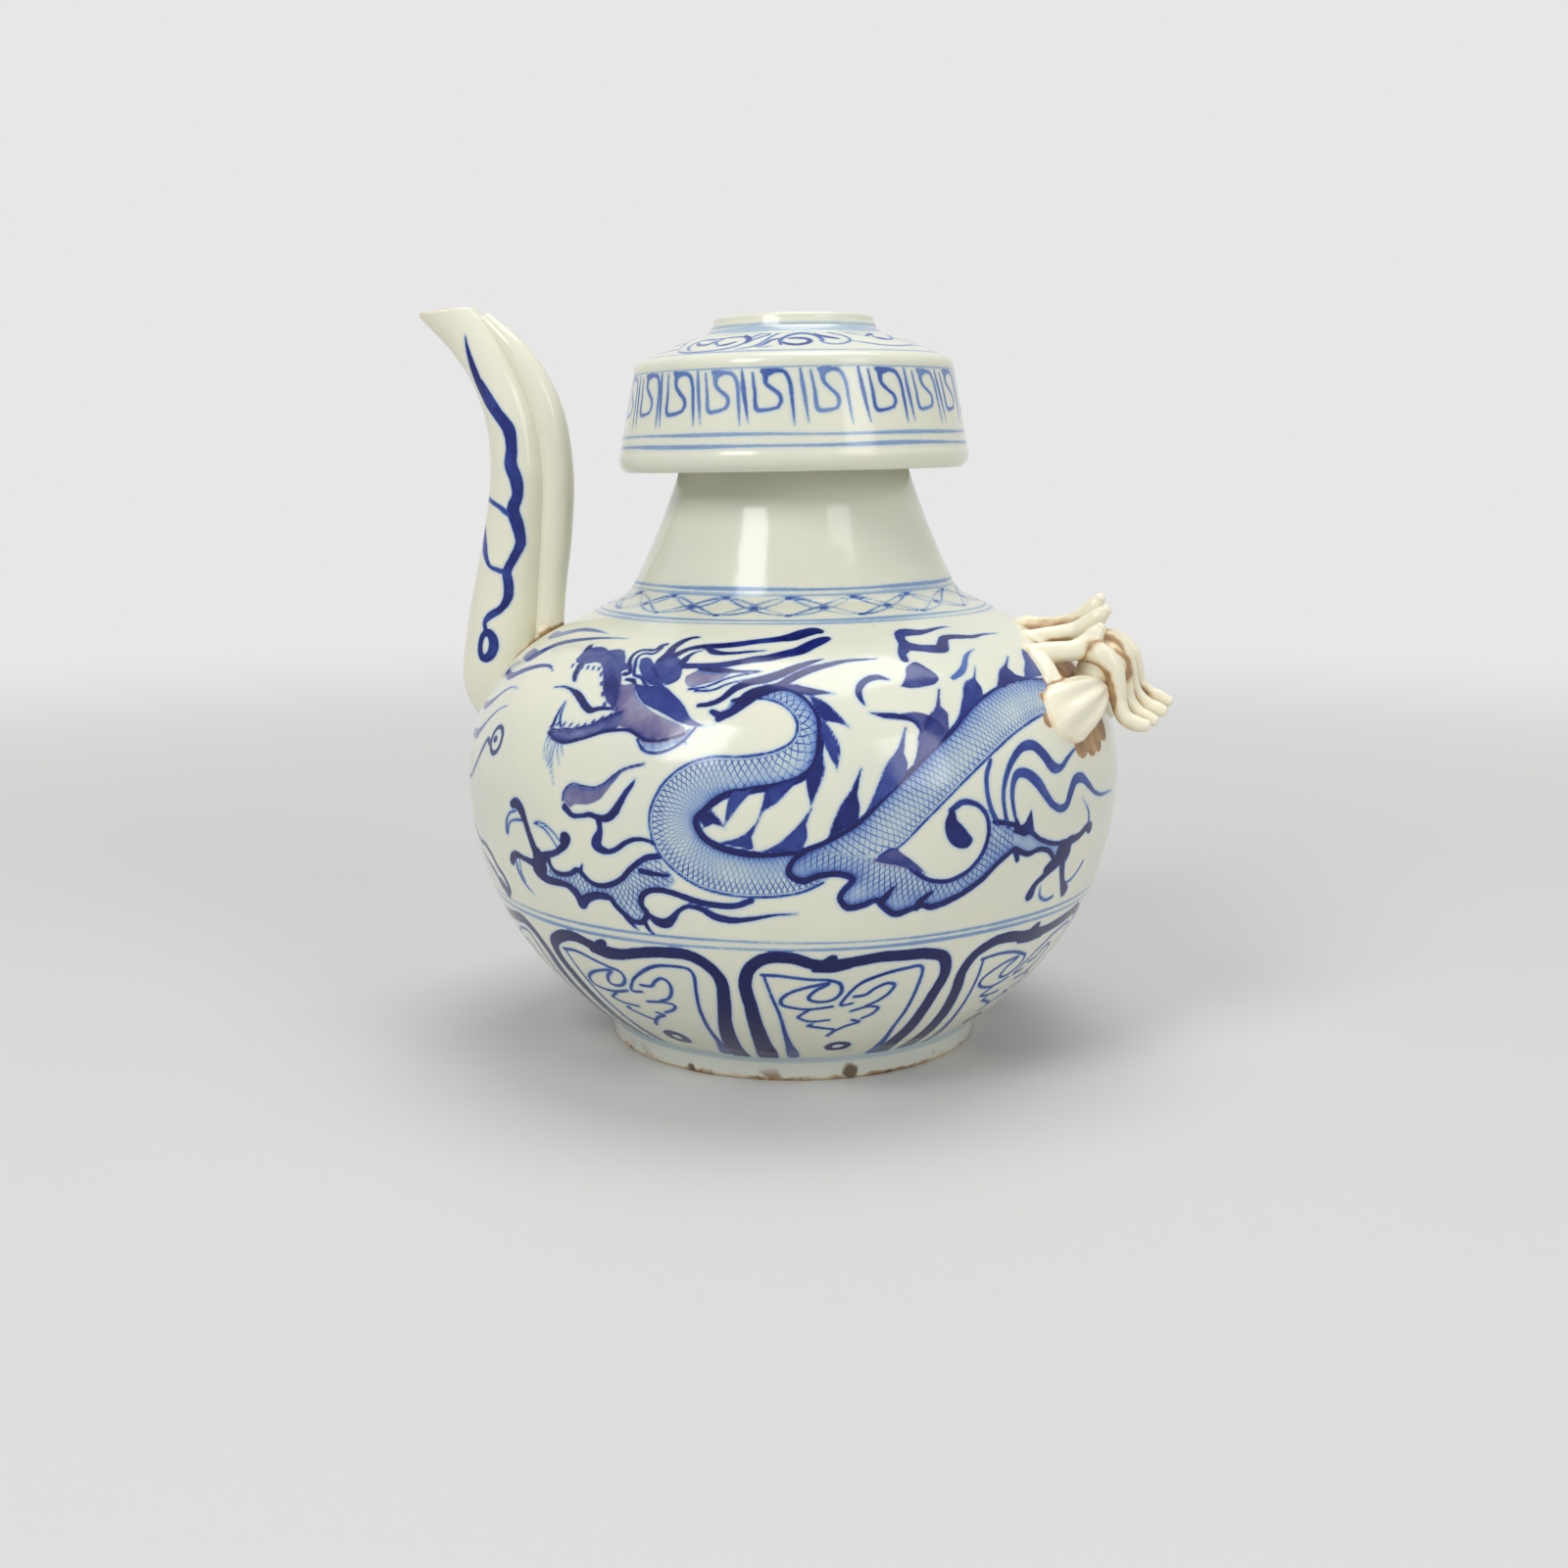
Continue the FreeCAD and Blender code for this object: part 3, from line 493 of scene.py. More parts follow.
lip = (46.2, SKIRT_BOTTOM + 4.9)
skirt_shell = Shell("painted_hat_skirt", "hat_skirt", [
    (outline_of(arc((44.4, SKIRT_BOTTOM), lip, 3.6, 1, 0.4),
                line(lip, (SKIRT_RADIUS, SKIRT_TOP), 0.33)), True),
    (line((SKIRT_RADIUS, SKIRT_TOP), (SKIRT_INSIDE, SKIRT_TOP), 4.0), False),
    (line((SKIRT_INSIDE, SKIRT_TOP), (42.2, SKIRT_BOTTOM + 1.6), 4.0), False),
    (arc((42.2, SKIRT_BOTTOM + 1.6), (43.2, SKIRT_BOTTOM), 1.9, 1, 0.5), False),
    (line((43.2, SKIRT_BOTTOM), (44.4, SKIRT_BOTTOM), 1.2), False),
], 840, 44.0, along_height)

round_foot, round_top = ROOF_TOP + 2.1, ROOF_TOP + 2.1 + MOUTH_ROUND
ring_shell = Shell("glazed_mouth_ring", "mouth_ring", [
    (outline_of(line((MOUTH_RADIUS, ROOF_TOP), (21.1, round_foot), 0.5),
                arc((21.1, round_foot), (19.9, round_top), MOUTH_ROUND, 1, 0.3),
                line((19.9, round_top), (19.1, round_top), 0.4),
                arc((19.1, round_top), (MOUTH_BORE, round_foot), MOUTH_ROUND, 1, 0.3),
                line((MOUTH_BORE, round_foot), (MOUTH_BORE, ROOF_TOP), 0.7)), True),
    (line((MOUTH_BORE, ROOF_TOP), (MOUTH_RADIUS, ROOF_TOP), 4.0), False),
], 360, 20.0, along_roof)

bevel_foot = (FOOT_RADIUS - FOOT_BEVEL, 0.0)
foot_shell = Shell("biscuit_foot_ring", "foot_ring", [
    (outline_of(line((FOOT_INSIDE, 0.0), bevel_foot, 0.6),
                line(bevel_foot, (FOOT_RADIUS, FOOT_BEVEL), 0.25),
                line((FOOT_RADIUS, FOOT_BEVEL), (SEAT, FOOT_TOP), 0.35)), True),
    (line((SEAT, FOOT_TOP), (FOOT_INSIDE, FOOT_TOP), 6.0), False),
    (line((FOOT_INSIDE, FOOT_TOP), (FOOT_INSIDE, 0.0), 0.6), False),
], 900, 50.0, along_height)


def chart_of(shell):
    painted = shell.sheet.along > UNPAINTED
    rows = [(a, r, z) for a, (r, z) in zip(shell.sheet.along[painted], shell.outline[painted])]
    return Chart([shell.sheet], rows, shell.radius)


body = Chart([lower_shell.sheet, upper_shell.sheet, neck_shell.sheet],
             np.column_stack([ALONG, PROFILE]).tolist(), BELLY)
skirt = chart_of(skirt_shell)
roof = chart_of(roof_shell)


# The painting
def with_width(points, width):
    """Points given as (across, along) take the stroke's own width."""
    return [point if len(point) > 2 else (*point, width) for point in points]


def dragon(at, sway=0.0):
    """A dragon on the body. Across is in millimetres round the belly from its middle, and
    along is in millimetres up the surface from the belly."""
    def placed(points):
        return [(u + at + sway * math.sin(0.11 * u + 0.07 * v),
                 v + sway * 0.6 * math.cos(0.09 * u - 0.05 * v), *rest) for u, v, *rest in points]

    def draw(points, tone=0.8, width=1.0, warm=0.0):
        body.stroke(placed(with_width(points, width)), tone, warm)

    def wash(points, tone=0.3, **more):
        for key in ("spine", "flow"):
            if key in more:
                more[key] = placed(more[key])
        more.setdefault("kind", "ink" if tone >= 0.6 else "wash")
        body.area(placed(points), tone, **more)

    outer = [(-18, 27), (-10, 30.5), (-5, 30), (-1, 27.5), (1, 24), (0, 20), (-4, 17.5), (-12, 16),
             (-20, 15.7), (-26, 13.5), (-31, 9), (-34, 2), (-33, -5), (-29, -10.5), (-22, -15),
             (-14, -16.8), (-6, -17), (2, -15.8), (7, -13.5)]
    spine = [(-16, 30), (-6, 33.3), (-1, 33), (3, 30.5), (6, 26), (6.6, 21), (5.5, 15), (2.5, 11.5),
             (-3, 9.5), (-10, 8.3), (-16, 7), (-20, 4), (-22.5, 1), (-21, -2.5), (-17, -5),
             (-10, -6.5), (-3, -6.5), (3, -5.5), (9, -3), (15, 0.5), (20, 5), (26, 10), (33, 15.5),
             (40, 20), (48, 25.5), (56, 29), (64, 31.2), (72, 31.8), (80, 31), (91, 29), (103, 26),
             (116, 23), (130, 20.5), (144, 19.5)]
    under = [(20, -7.5), (25, -5.5), (30, -1), (36, 4), (42, 8.5), (50, 13.5), (58, 17.5),
             (66, 20.2), (72, 21.5), (80, 21.8), (91, 21.2), (103, 19.5), (116, 18.2), (130, 18),
             (144, 19)]
    neck_turn = outer + [(3, -5.5), (-3, -6.5), (-10, -6.5), (-17, -5), (-21, -2.5), (-22.5, 1),
                         (-20, 4), (-16, 7), (-10, 8.3), (-3, 9.5), (2.5, 11.5), (5.5, 15),
                         (6.6, 21), (6, 26), (3, 30.5), (-1, 33), (-6, 33.3), (-16, 30)]
    rear = spine[17:] + under[::-1] + [(12, -9), (7, -13.5)]
    for part, line_followed in ((neck_turn, outer), (rear, spine)):
        wash(part, 0.46, spine=spine, fade=(0.13, 2.9))
        wash(part, kind="scale", flow=line_followed)
    draw(outer, 0.66, 0.75)
    draw(under, 0.66, 0.75)
    widths = [1.0] * 5 + [1.8] * 11 + [1.4] * 8 + [1.1, 0.9] + [0.8] * 8
    draw([(u, v, w) for (u, v), w in zip(spine, widths)], 0.84)
    belly_line = [(-31, 4), (-31, -3), (-27, -9), (-20, -13), (-12, -14.6), (-4, -14.6), (2, -13.5)]
    draw(belly_line, 0.3, 0.4)
    draw([(23, -3.5), (29, 1), (36, 6.5), (43, 11), (51, 15.8), (59, 19.6), (67, 22.2), (78, 23.4)],
         0.28, 0.4)

    # Fins along the spine
    fins = [
        [(4, 31.5), (8, 29.5), (11, 26.5), (13.8, 22.8), (11, 24), (8, 24.5), (6.5, 26)],
        [(-5, 34), (0, 34.8), (4, 33.6), (11, 31.8), (4, 31.5), (0, 32.5)],
        [(6.8, 25), (8, 24), (11, 18), (10.2, 13), (8.5, 16), (7, 20)],
        [(6.5, 18), (7.3, 13), (6, 9.5), (4, 4.8), (3.2, 8.5), (2.8, 11.5), (4.5, 14)],
        [(2, 12), (-1.5, 8), (-4, 5.5), (-7, 3.5), (-8.2, 1), (-7, 5.5), (-6.5, 8), (-3, 10)],
        [(-9, 8.8), (-12.5, 5), (-14.3, 2.5), (-15.8, 0.5), (-15.5, 3.5), (-15, 6), (-14, 8)],
        [(-22, 2), (-19, 3.5), (-17.5, 2), (-15.8, -0.3), (-18.5, 0.5), (-20.5, -0.5)],
        [(-17, -4), (-13, -3), (-10.5, -1.5), (-8, 1.2), (-9.5, -2.5), (-9, -5.5)],
        [(-8, -6.2), (-4, -4.5), (-1.5, -2.5), (1, 0), (4.2, 4), (3, 0.5), (3.3, -2.5), (2, -5.5)],
        [(8, -3), (9.3, 1), (11, 4.5), (13.5, 8), (16, 12.8), (14.8, 7), (15.3, 4), (15, 1)],
        [(17, 3), (20, 9), (22, 13), (25.5, 17), (28.3, 22), (26.8, 16), (27.5, 13.5), (27, 11),
         (22, 6.5)],
        [(40, 20), (44, 24), (47.5, 29), (50, 32.5), (54, 34), (58, 38), (54.5, 33.5), (55, 31),
         (54, 28.5)],
        [(60, 30), (62.5, 32.5), (66, 35.3), (70, 37), (75, 39.6), (70, 36), (71, 33.5), (75, 32)],
        [(74, 32), (76, 34), (80, 36.5), (84, 40), (88.8, 41.8), (85.5, 38), (85, 35), (86, 31.5)],
    ]
    for number, fin in enumerate(fins):
        wash(fin, 0.71 + 0.09 * math.sin(number * 2.3), warm=0.25, round_corners=False)
        draw(fin[:len(fin) // 2 + 1], 0.74, 0.4)
    fin = [(28.5, 12), (30.5, 16), (31.5, 20), (33.5, 22), (35, 24), (38, 26.5), (41, 31.5),
           (39.5, 27), (41, 25), (40, 21), (36, 17)]
    wash(fin, 0.62, warm=0.8, round_corners=False)
    draw(fin[:7], 0.74, 0.5)
    wash([(20.6, 25.9), (24, 25.9), (27.3, 25.7), (32.2, 25.9), (36, 24.4), (38.4, 22.3),
          (38.6, 19.9), (34.8, 19.6), (32.2, 22.3), (29.5, 23.6), (26, 24.1), (22.5, 24.8)], 0.62,
         warm=0.95, kind="wash")
    draw([(31, 15, 1.2), (32.5, 20, 1.2), (31, 23.4, 1.0), (27, 25, 1.4), (23.5, 25.4, 1.5),
          (19.6, 26.3, 0.3)], 0.74, warm=0.4)

    # Hind leg
    thigh = [(4, -5, 1.6), (0, -8, 2), (-1, -11, 2.2), (2, -13, 2.4), (6, -11.8, 2.2),
             (11, -11.5, 2.2), (14, -13, 2.2), (12, -15.5, 2), (11, -17.5, 2), (13, -20, 2.4),
             (17, -19.5, 2.2), (20, -18.5, 2), (22, -20.5, 2.2), (25, -22.5, 2.4), (29, -21.5, 2.2),
             (32, -20.8, 2.2), (34, -21.5, 2.4), (40, -20, 2.4), (47, -16.5, 2.2), (52, -12.5, 2),
             (57, -9.5, 1.6)]
    leg = [p[:2] for p in thigh] + [(56, -3.5), (50, -2), (48.5, -4), (47, -9.5), (43, -13.5),
                                    (38, -15.2), (33, -14.5), (29, -12), (26, -9), (20, -7.5),
                                    (12, -7)]
    wash(leg, 0.52, spine=[p[:2] for p in thigh], fade=(0.14, 3.4))
    wash(leg, kind="scale", flow=[(-6, -2), (8, -8), (24, -15), (40, -16), (52, -9), (62, -3)])
    draw([(u, v, w * 0.76) for u, v, w in thigh], 0.84)
    draw([(24, -15.5, 0.8), (22, -18, 1.8), (21, -19.5, 1.6)], 0.85)
    draw([(34, -17.5, 0.8), (31, -20, 2), (30.5, -21.5, 1.6)], 0.85)
    draw([(20, -8, 0.9), (23, -6.5, 1.5), (26, -9, 1.5), (29, -12, 1.4), (33, -14.5, 1.3),
          (38, -15.2, 1.3), (43, -13.5, 1.3), (47, -9.5, 1.3), (48.5, -4, 1.3), (47.5, 0, 1.2),
          (45, 2.5, 1.3), (41, 3.5, 1.6), (37.8, 1.8, 1.6)], 0.74)
    wash([(18.4, -8.7), (21, -7.2), (23.9, -5.6), (25.5, -7.2), (28.4, -9.3), (32.4, -12.9),
          (28, -11.4), (24.5, -10.2), (21.5, -9.6)], 0.62, warm=0.8, round_corners=False)
    wash([(37.5, 2), (36.2, -1), (36.8, -4.2), (39, -6.8), (42.5, -7.5), (44, -5.8), (42.5, -3.8),
          (41, -2), (39.5, -0.5), (38.8, 1.5)], 0.85)
    shin = [(50, -2), (56, -3.5), (62, -6), (66, -8.5), (72, -10.5), (77, -11), (75, -16),
            (73, -14.5), (70, -12), (66, -11), (62, -11.5), (57, -9.5)]
    wash(shin, 0.3)
    draw([(50, -2), (56, -3.5), (57, -4), (62, -6), (66, -8.5), (72, -10.5), (77, -11)], 0.85, 1.3)
    draw([(57, -9.5), (58.5, -12.5)], 0.85, 1.4)
    draw([(57, -9.5), (62, -11.5), (66, -11), (70, -12), (73, -14.5), (75, -16)], 0.85, 1.5)
    wash([(75, -10), (79, -10.5), (80.5, -13), (79.5, -16), (75.5, -16.5), (73.5, -13.5)], 0.82)
    draw([(79, -11, 2.6), (84, -10.5, 2), (88, -9, 2.2), (90, -9.5, 3.2)], 0.85)
    draw([(77, -15, 2.6), (78.5, -19, 2.2), (80.5, -22.5, 2.2), (83, -25, 3.4)], 0.85)
    draw([(75, -16, 2.6), (71, -18, 2), (67, -20.5, 2), (66, -23, 3.2)], 0.85)
    draw([(76, -13.5, 2.4), (72.5, -15.5, 2.2), (70.5, -17, 2.4)], 0.85)
    for claw in ([(84, -1), (88, -5), (89, -8)], [(80, -22), (84, -22.5), (88, -20.5), (90, -18.5)],
                 [(69.5, -21), (70.5, -24), (74, -25.8), (77, -25.5)]):
        draw([(*claw[0], 0.3)] + [(u, v, 1.0) for u, v in claw[1:-1]] + [(*claw[-1], 1.2)], 0.55)
    draw([(50, 12.5, 1.2), (48.2, 9, 1.4), (48, 5, 1.4), (49, 1, 1.4), (51, -2.5, 1.6)], 0.62)
    draw([(54.5, -4, 1.2), (53.2, 0, 1.2), (52.8, 4, 1.3), (54, 8, 1.6), (57, 12, 1.8),
          (61, 14.5, 2.2), (65, 14.5, 2.8), (68, 12, 3), (71, 8.5, 3), (74, 8, 1.8), (78, 10, 1.2),
          (82, 11.5, 0.8), (88, 12.5, 0.3)], 0.64)
    draw([(57, -3, 1), (55.8, 1, 1.2), (55.7, 5, 1.6), (57.5, 8.3, 2.2), (60.5, 8.3, 2.6),
          (64, 6, 3), (67, 2.5, 2.4), (70, -0.5, 2), (73.5, -2, 2), (76, -1.5, 2.2), (77.5, 1, 2.6),
          (80, 4, 2.8), (83.5, 4.2, 2.6), (87, 2, 2), (91, -0.5, 1.4), (96, -2, 1),
          (104, -2.5, 0.6), (109, -3.2, 0.3)], 0.62)
    wash([(56, -5.5), (57, -1.5), (58.5, -4), (60, -3.5), (62, -0.5), (63.5, -6.5), (60, -7)], 0.8,
         round_corners=False)

    # Head
    wash([(-78.8, 46.6), (-76.2, 44.7), (-74.1, 45.5), (-71.5, 45.8), (-68.3, 45.3), (-66.2, 44.5),
          (-64.1, 45.3), (-62, 45.5), (-59.4, 45), (-56.7, 42.9), (-54.6, 40.5), (-52.5, 39.7),
          (-50.4, 38.9), (-53.6, 37.4), (-51.5, 34.7), (-49.5, 30), (-48.8, 26.3), (-52, 27.9),
          (-54.6, 30), (-57.3, 33.2), (-59.4, 35.8), (-61.5, 37.9), (-64.1, 39.5), (-66.7, 39.7),
          (-69.4, 38.9), (-72, 38.4), (-75.2, 38.9), (-76.7, 40), (-77, 41.6)], 0.62, warm=0.55,
         round_corners=False)
    draw([(-78, 45.6, 1.6), (-76, 43.6, 2.6), (-73, 43.4, 2.2), (-70, 43.8, 1.6), (-66, 42.6, 1.2)],
         0.84)
    draw([(-61, 44.2, 1.0), (-58.5, 42, 1.8), (-56, 39, 1.6), (-55.4, 35.4, 1.2)], 0.72)
    wash([(-56, 37), (-50, 33.5), (-46, 34), (-44, 31), (-40, 28), (-36, 26), (-30, 24),
          (-27, 22.5), (-27.5, 21), (-33, 19.2), (-38, 19.2), (-42.5, 21.3), (-47, 22.5), (-49, 25),
          (-48.8, 26.3), (-53, 28.5), (-57, 33)], 0.58, warm=1.0, kind="wash",
         spine=[(-56, 35), (-51, 31), (-49, 25), (-42, 22), (-34, 20)], fade=(0.30, 4.5))
    jaw_top = [(-68.8, 20), (-66.2, 19.5), (-63.6, 20), (-59.9, 20.3), (-57.3, 21), (-54.6, 21.8),
               (-52, 23.2), (-49.4, 24.5), (-46.2, 25.8)]
    jaw_low = [(-68.6, 18.7), (-66.2, 17.4), (-62, 16.8), (-58.3, 17.6), (-54.1, 18.9),
               (-50.4, 20.3), (-46.2, 21.1), (-42.5, 21.3), (-39.9, 20.3), (-37.3, 19.2),
               (-33.6, 19.2), (-30.4, 20), (-27.3, 21)]
    wash(jaw_top + jaw_low[6::-1], 0.58, warm=0.7)
    draw(jaw_top, 0.8, 0.7)
    draw(jaw_low, 0.8, 1.0)
    for k in range(10):
        u = -75.5 + 2.5 * k
        v = 38.0 if u < -62 else 38.0 - (u + 62) * 1.15
        draw([(u, v, 0.9), (u + 0.5, v - 0.8, 0.7)], 0.7)
    for k in range(8):
        u = -66.5 + 2.4 * k
        v = 21.2 + max(0.0, u + 58) * 0.45
        draw([(u, v - 0.4, 0.8), (u + 0.4, v + 0.4, 0.6)], 0.66)
    draw([(-72, 38.5, 1.6), (-71.5, 36, 1.4), (-69, 33.2, 0.9), (-68, 32.8, 0.2)], 0.85)
    draw([(-70.5, 37.5, 0.6), (-70, 35.5, 0.6), (-68, 32.8, 0.3)], 0.8)
    draw([(-67.5, 27, 0.3), (-68, 23.5, 0.9), (-68, 20.5, 1.2)], 0.85)
    draw([(-67.2, 27, 0.3), (-66.5, 23, 0.7), (-65, 20.5, 0.8)], 0.85)
    draw([(-75.7, 30.5, 0.4), (-71.5, 31, 0.7), (-67.8, 30.5, 1), (-64.6, 29.5, 1.8),
          (-62, 28.2, 2), (-59.4, 26.6, 2), (-56.7, 25.5, 1.8), (-54.1, 26.1, 1.2),
          (-50.4, 26.4, 0.8), (-48.3, 26.3, 0.6)], 0.85)
    for hair in ([(-68.3, 18.5), (-68.6, 15), (-67.5, 12)], [(-67.3, 18), (-67.2, 14),
                                                             (-65.8, 10.5)],
                 [(-66.2, 17.5), (-65.8, 13), (-64.3, 9)], [(-65, 17.3), (-64.6, 12), (-62.8, 6.5)],
                 [(-64, 17), (-63.2, 14), (-61.8, 11.5)], [(-63, 17), (-62, 15), (-61.2, 13.8)]):
        draw([(*place, width) for place, width in zip(hair, (0.5, 0.4, 0.2))], 0.6)
    draw([(-50, 35, 0.8), (-47.5, 34.8, 1.2), (-46, 33.8, 0.8)], 0.85)
    draw([(-45.2, 48.9), (-46.7, 48.2), (-47.5, 46.3), (-50.4, 46), (-53.1, 45.5), (-54.1, 43.7),
          (-53.6, 41.6), (-51.5, 38.9), (-50.2, 37.4), (-51, 36.6), (-52, 36.8)], 0.85, 1.1)
    draw([(-45.7, 47.4), (-46.7, 44.7), (-49.9, 44.5), (-51.5, 43.7), (-51.5, 42.1), (-49.9, 39.5),
          (-48.3, 36.8), (-45.2, 35.8), (-42, 33.4), (-39.9, 32.9), (-37.3, 33.7)], 0.8, 0.9)
    wash([(-50, 42.5), (-47.5, 43), (-44, 40.8), (-41, 38), (-38.5, 36), (-37, 34.5), (-39.5, 33.5),
          (-42.5, 34.5), (-46, 37), (-48.5, 39.5)], 0.66, warm=0.3)
    draw([(-47, 41, 0.6), (-43.5, 39, 2.2), (-40.5, 36.5, 1.6), (-38.5, 35, 0.6)], 0.80)
    wash([(-46.5, 34), (-42, 33.5), (-37, 33.8), (-33, 31.5), (-29, 28.5), (-26, 25), (-22, 23.5),
          (-19.5, 23.6), (-24, 23), (-29, 23.8), (-33, 25.5), (-37, 27), (-41, 28.5), (-44, 31)],
         0.68, warm=0.3)
    draw([(-45, 32.6, 0.8), (-41.5, 31.8, 2.0), (-37, 31.6, 2.4), (-33.5, 29.6, 1.8),
          (-30, 27, 0.8)], 0.82)
    draw([(-41, 29.3, 0.5), (-37, 28.4, 1.4), (-33, 26.6, 1.0), (-28, 24.6, 0.5)], 0.78)
    wash([(-39, 19.5), (-37, 17.3), (-34, 16.8), (-30, 18), (-27, 20), (-25, 22.5), (-28, 22),
          (-32, 20), (-36, 19.5)], 0.3)
    for k in range(6):
        draw([(-38 + 2.1 * k, 19.3 + 0.2 * k, 0.4), (-36.8 + 2.1 * k, 17.0 + 0.35 * k, 0.4)], 0.6)
    draw([(-39.5, 19.3), (-37.3, 16.8), (-34, 16.2), (-30, 17.4), (-27, 19.6), (-24.6, 22.6)], 0.78,
         0.8)

    # Horns and mane
    wash([(-31.5, 37), (-28, 39.3), (-22, 39.3), (-18, 38.5), (-20, 36.5), (-25, 34.5), (-29, 33.5),
          (-31, 35)], 0.45, warm=1.0)
    wash([(-44, 41), (-41, 44), (-37, 43.5), (-34, 40.5), (-33, 36), (-36, 34), (-39, 36),
          (-42, 38.5)],
         0.64, warm=0.5)
    for track in (
            [(-42, 42.1, 3), (-41.2, 44.7, 2.6), (-41.5, 47.4, 2.2), (-40.4, 50, 2),
             (-38.3, 51.8, 1.4), (-35.7, 52.6, 1), (-34.4, 52.5, 0.4)],
            [(-40.4, 41.6, 2.5), (-38.3, 44.7, 2.2), (-35.7, 47.1, 1.8), (-32, 48.4, 2),
             (-28.8, 48.8, 2.2), (-24.1, 49.2, 2.4), (-18.8, 50, 2.4), (-12, 51.3, 2.2),
             (-5, 52.3, 2.6), (0, 53.3, 3.6), (4, 54.8, 3.6), (8, 55.8, 3), (10, 55.5, 2)],
            [(-28.8, 47.9, 1.5), (-26.2, 46.3, 2), (-23, 45.8, 1.6), (-18.8, 46, 1.2),
             (-14.6, 46.6, 1), (-9, 47.2, 0.3)],
            [(-36.7, 40.3, 1.5), (-34.6, 42.1, 2.2), (-33.8, 44.2, 1.4), (-32.5, 45.8, 0.8),
             (-29.9, 47.1, 0.3)],
            [(-35.7, 40.3, 2), (-32, 40.5, 2), (-26.7, 40.8, 1.8), (-21.5, 41.3, 2),
             (-16.2, 42.4, 2.3), (-12, 43.4, 2.5), (-8, 44, 2.7), (-3, 45.5, 3), (2, 47, 3.4),
             (6, 49.5, 3.4), (10, 51.5, 3), (12, 52.2, 2)]):
        draw(track, 0.8, warm=0.35)
    for track in (
            [(-28, 39.5, 1), (-22, 39.3, 2), (-16, 39, 1), (-10, 39.2, 0.4)],
            [(-29, 33, 0.6), (-24, 34, 0.6), (-19, 36.5, 0.7), (-14, 38, 0.6), (-9, 39, 0.3)],
            [(-27, 32.5, 0.6), (-22, 33, 0.6), (-18, 35, 0.6), (-13, 36.5, 0.3)],
            [(-25, 28.5, 1), (-22, 29, 1.4), (-19, 30.5, 1.5), (-16, 33.5, 2), (-12, 35.5, 2.2),
             (-8, 36.5, 2.6), (-4, 38, 2.6), (0, 40, 2.2), (5, 42, 1.4), (9, 43.2, 0.4)],
            [(-19, 25, 1.6), (-15, 28, 2.2), (-12, 32, 2), (-8, 33.5, 2), (-4, 34.5, 2),
             (0, 37, 2.2), (5, 39.5, 2.2), (10, 41, 1.8), (16, 42.3, 1.2), (22, 42.7, 0.8),
             (26, 42.7, 0.3)],
            [(-21, 27, 1.4), (-18, 26, 2), (-14, 28.5, 2.4), (-10, 31.5, 2.4), (-5, 33.5, 2),
             (0, 33.8, 1.8), (5, 33, 1.2), (11, 31.8, 0.3)]):
        draw(track, 0.84, warm=0.15)
    flat = [(34.9, 41.9, 2.2), (35.3, 44.2, 2.2), (37.2, 46.2, 3), (38.8, 48.5, 3.2),
            (38.9, 50.8, 2.6), (40.3, 52.9, 3), (43.4, 53.5, 3.4), (48, 53.2, 2.6),
            (52.6, 53.5, 1.6), (57.2, 54.2, 1.1), (61.8, 54.6, 0.7), (65.7, 54.4, 0.2)]
    draw(flat, 0.72, warm=0.3)
    draw([(39.5, 47.3, 4), (43.4, 46.2, 3.2), (48, 45.4, 3.6), (51.1, 45.4, 3.6), (53.4, 47.3, 3),
          (56.5, 49.6, 2.4), (60.3, 50, 2.2), (64.9, 49.6, 2), (69.5, 49.1, 1.6), (74.9, 49.4, 1),
          (80.3, 49.4, 0.6), (86.5, 49, 0.2)], 0.75, warm=0.2)
    draw([(47.2, 34.6, 1.4), (51.1, 36.2, 1.8), (54.2, 38.5, 1.6), (57.2, 41.2, 1.2),
          (61.1, 43.1, 0.7), (63.8, 43.8, 0.2)], 0.5)
    wash([(29.9, 33.1), (32.6, 36.2), (34.2, 39.2), (38, 40.8), (40.3, 38.8), (42.6, 35.4),
          (41.1, 33.5), (37.2, 32.7), (32.6, 32.5)], 0.65, warm=0.7)
    draw([(27.2, 35.4, 0.6), (24.2, 36.3, 1.6), (21.1, 35.8, 1.8), (18.4, 33.8, 1.8),
          (17.6, 31.5, 1.6), (18.5, 28.5, 0.6)], 0.75)

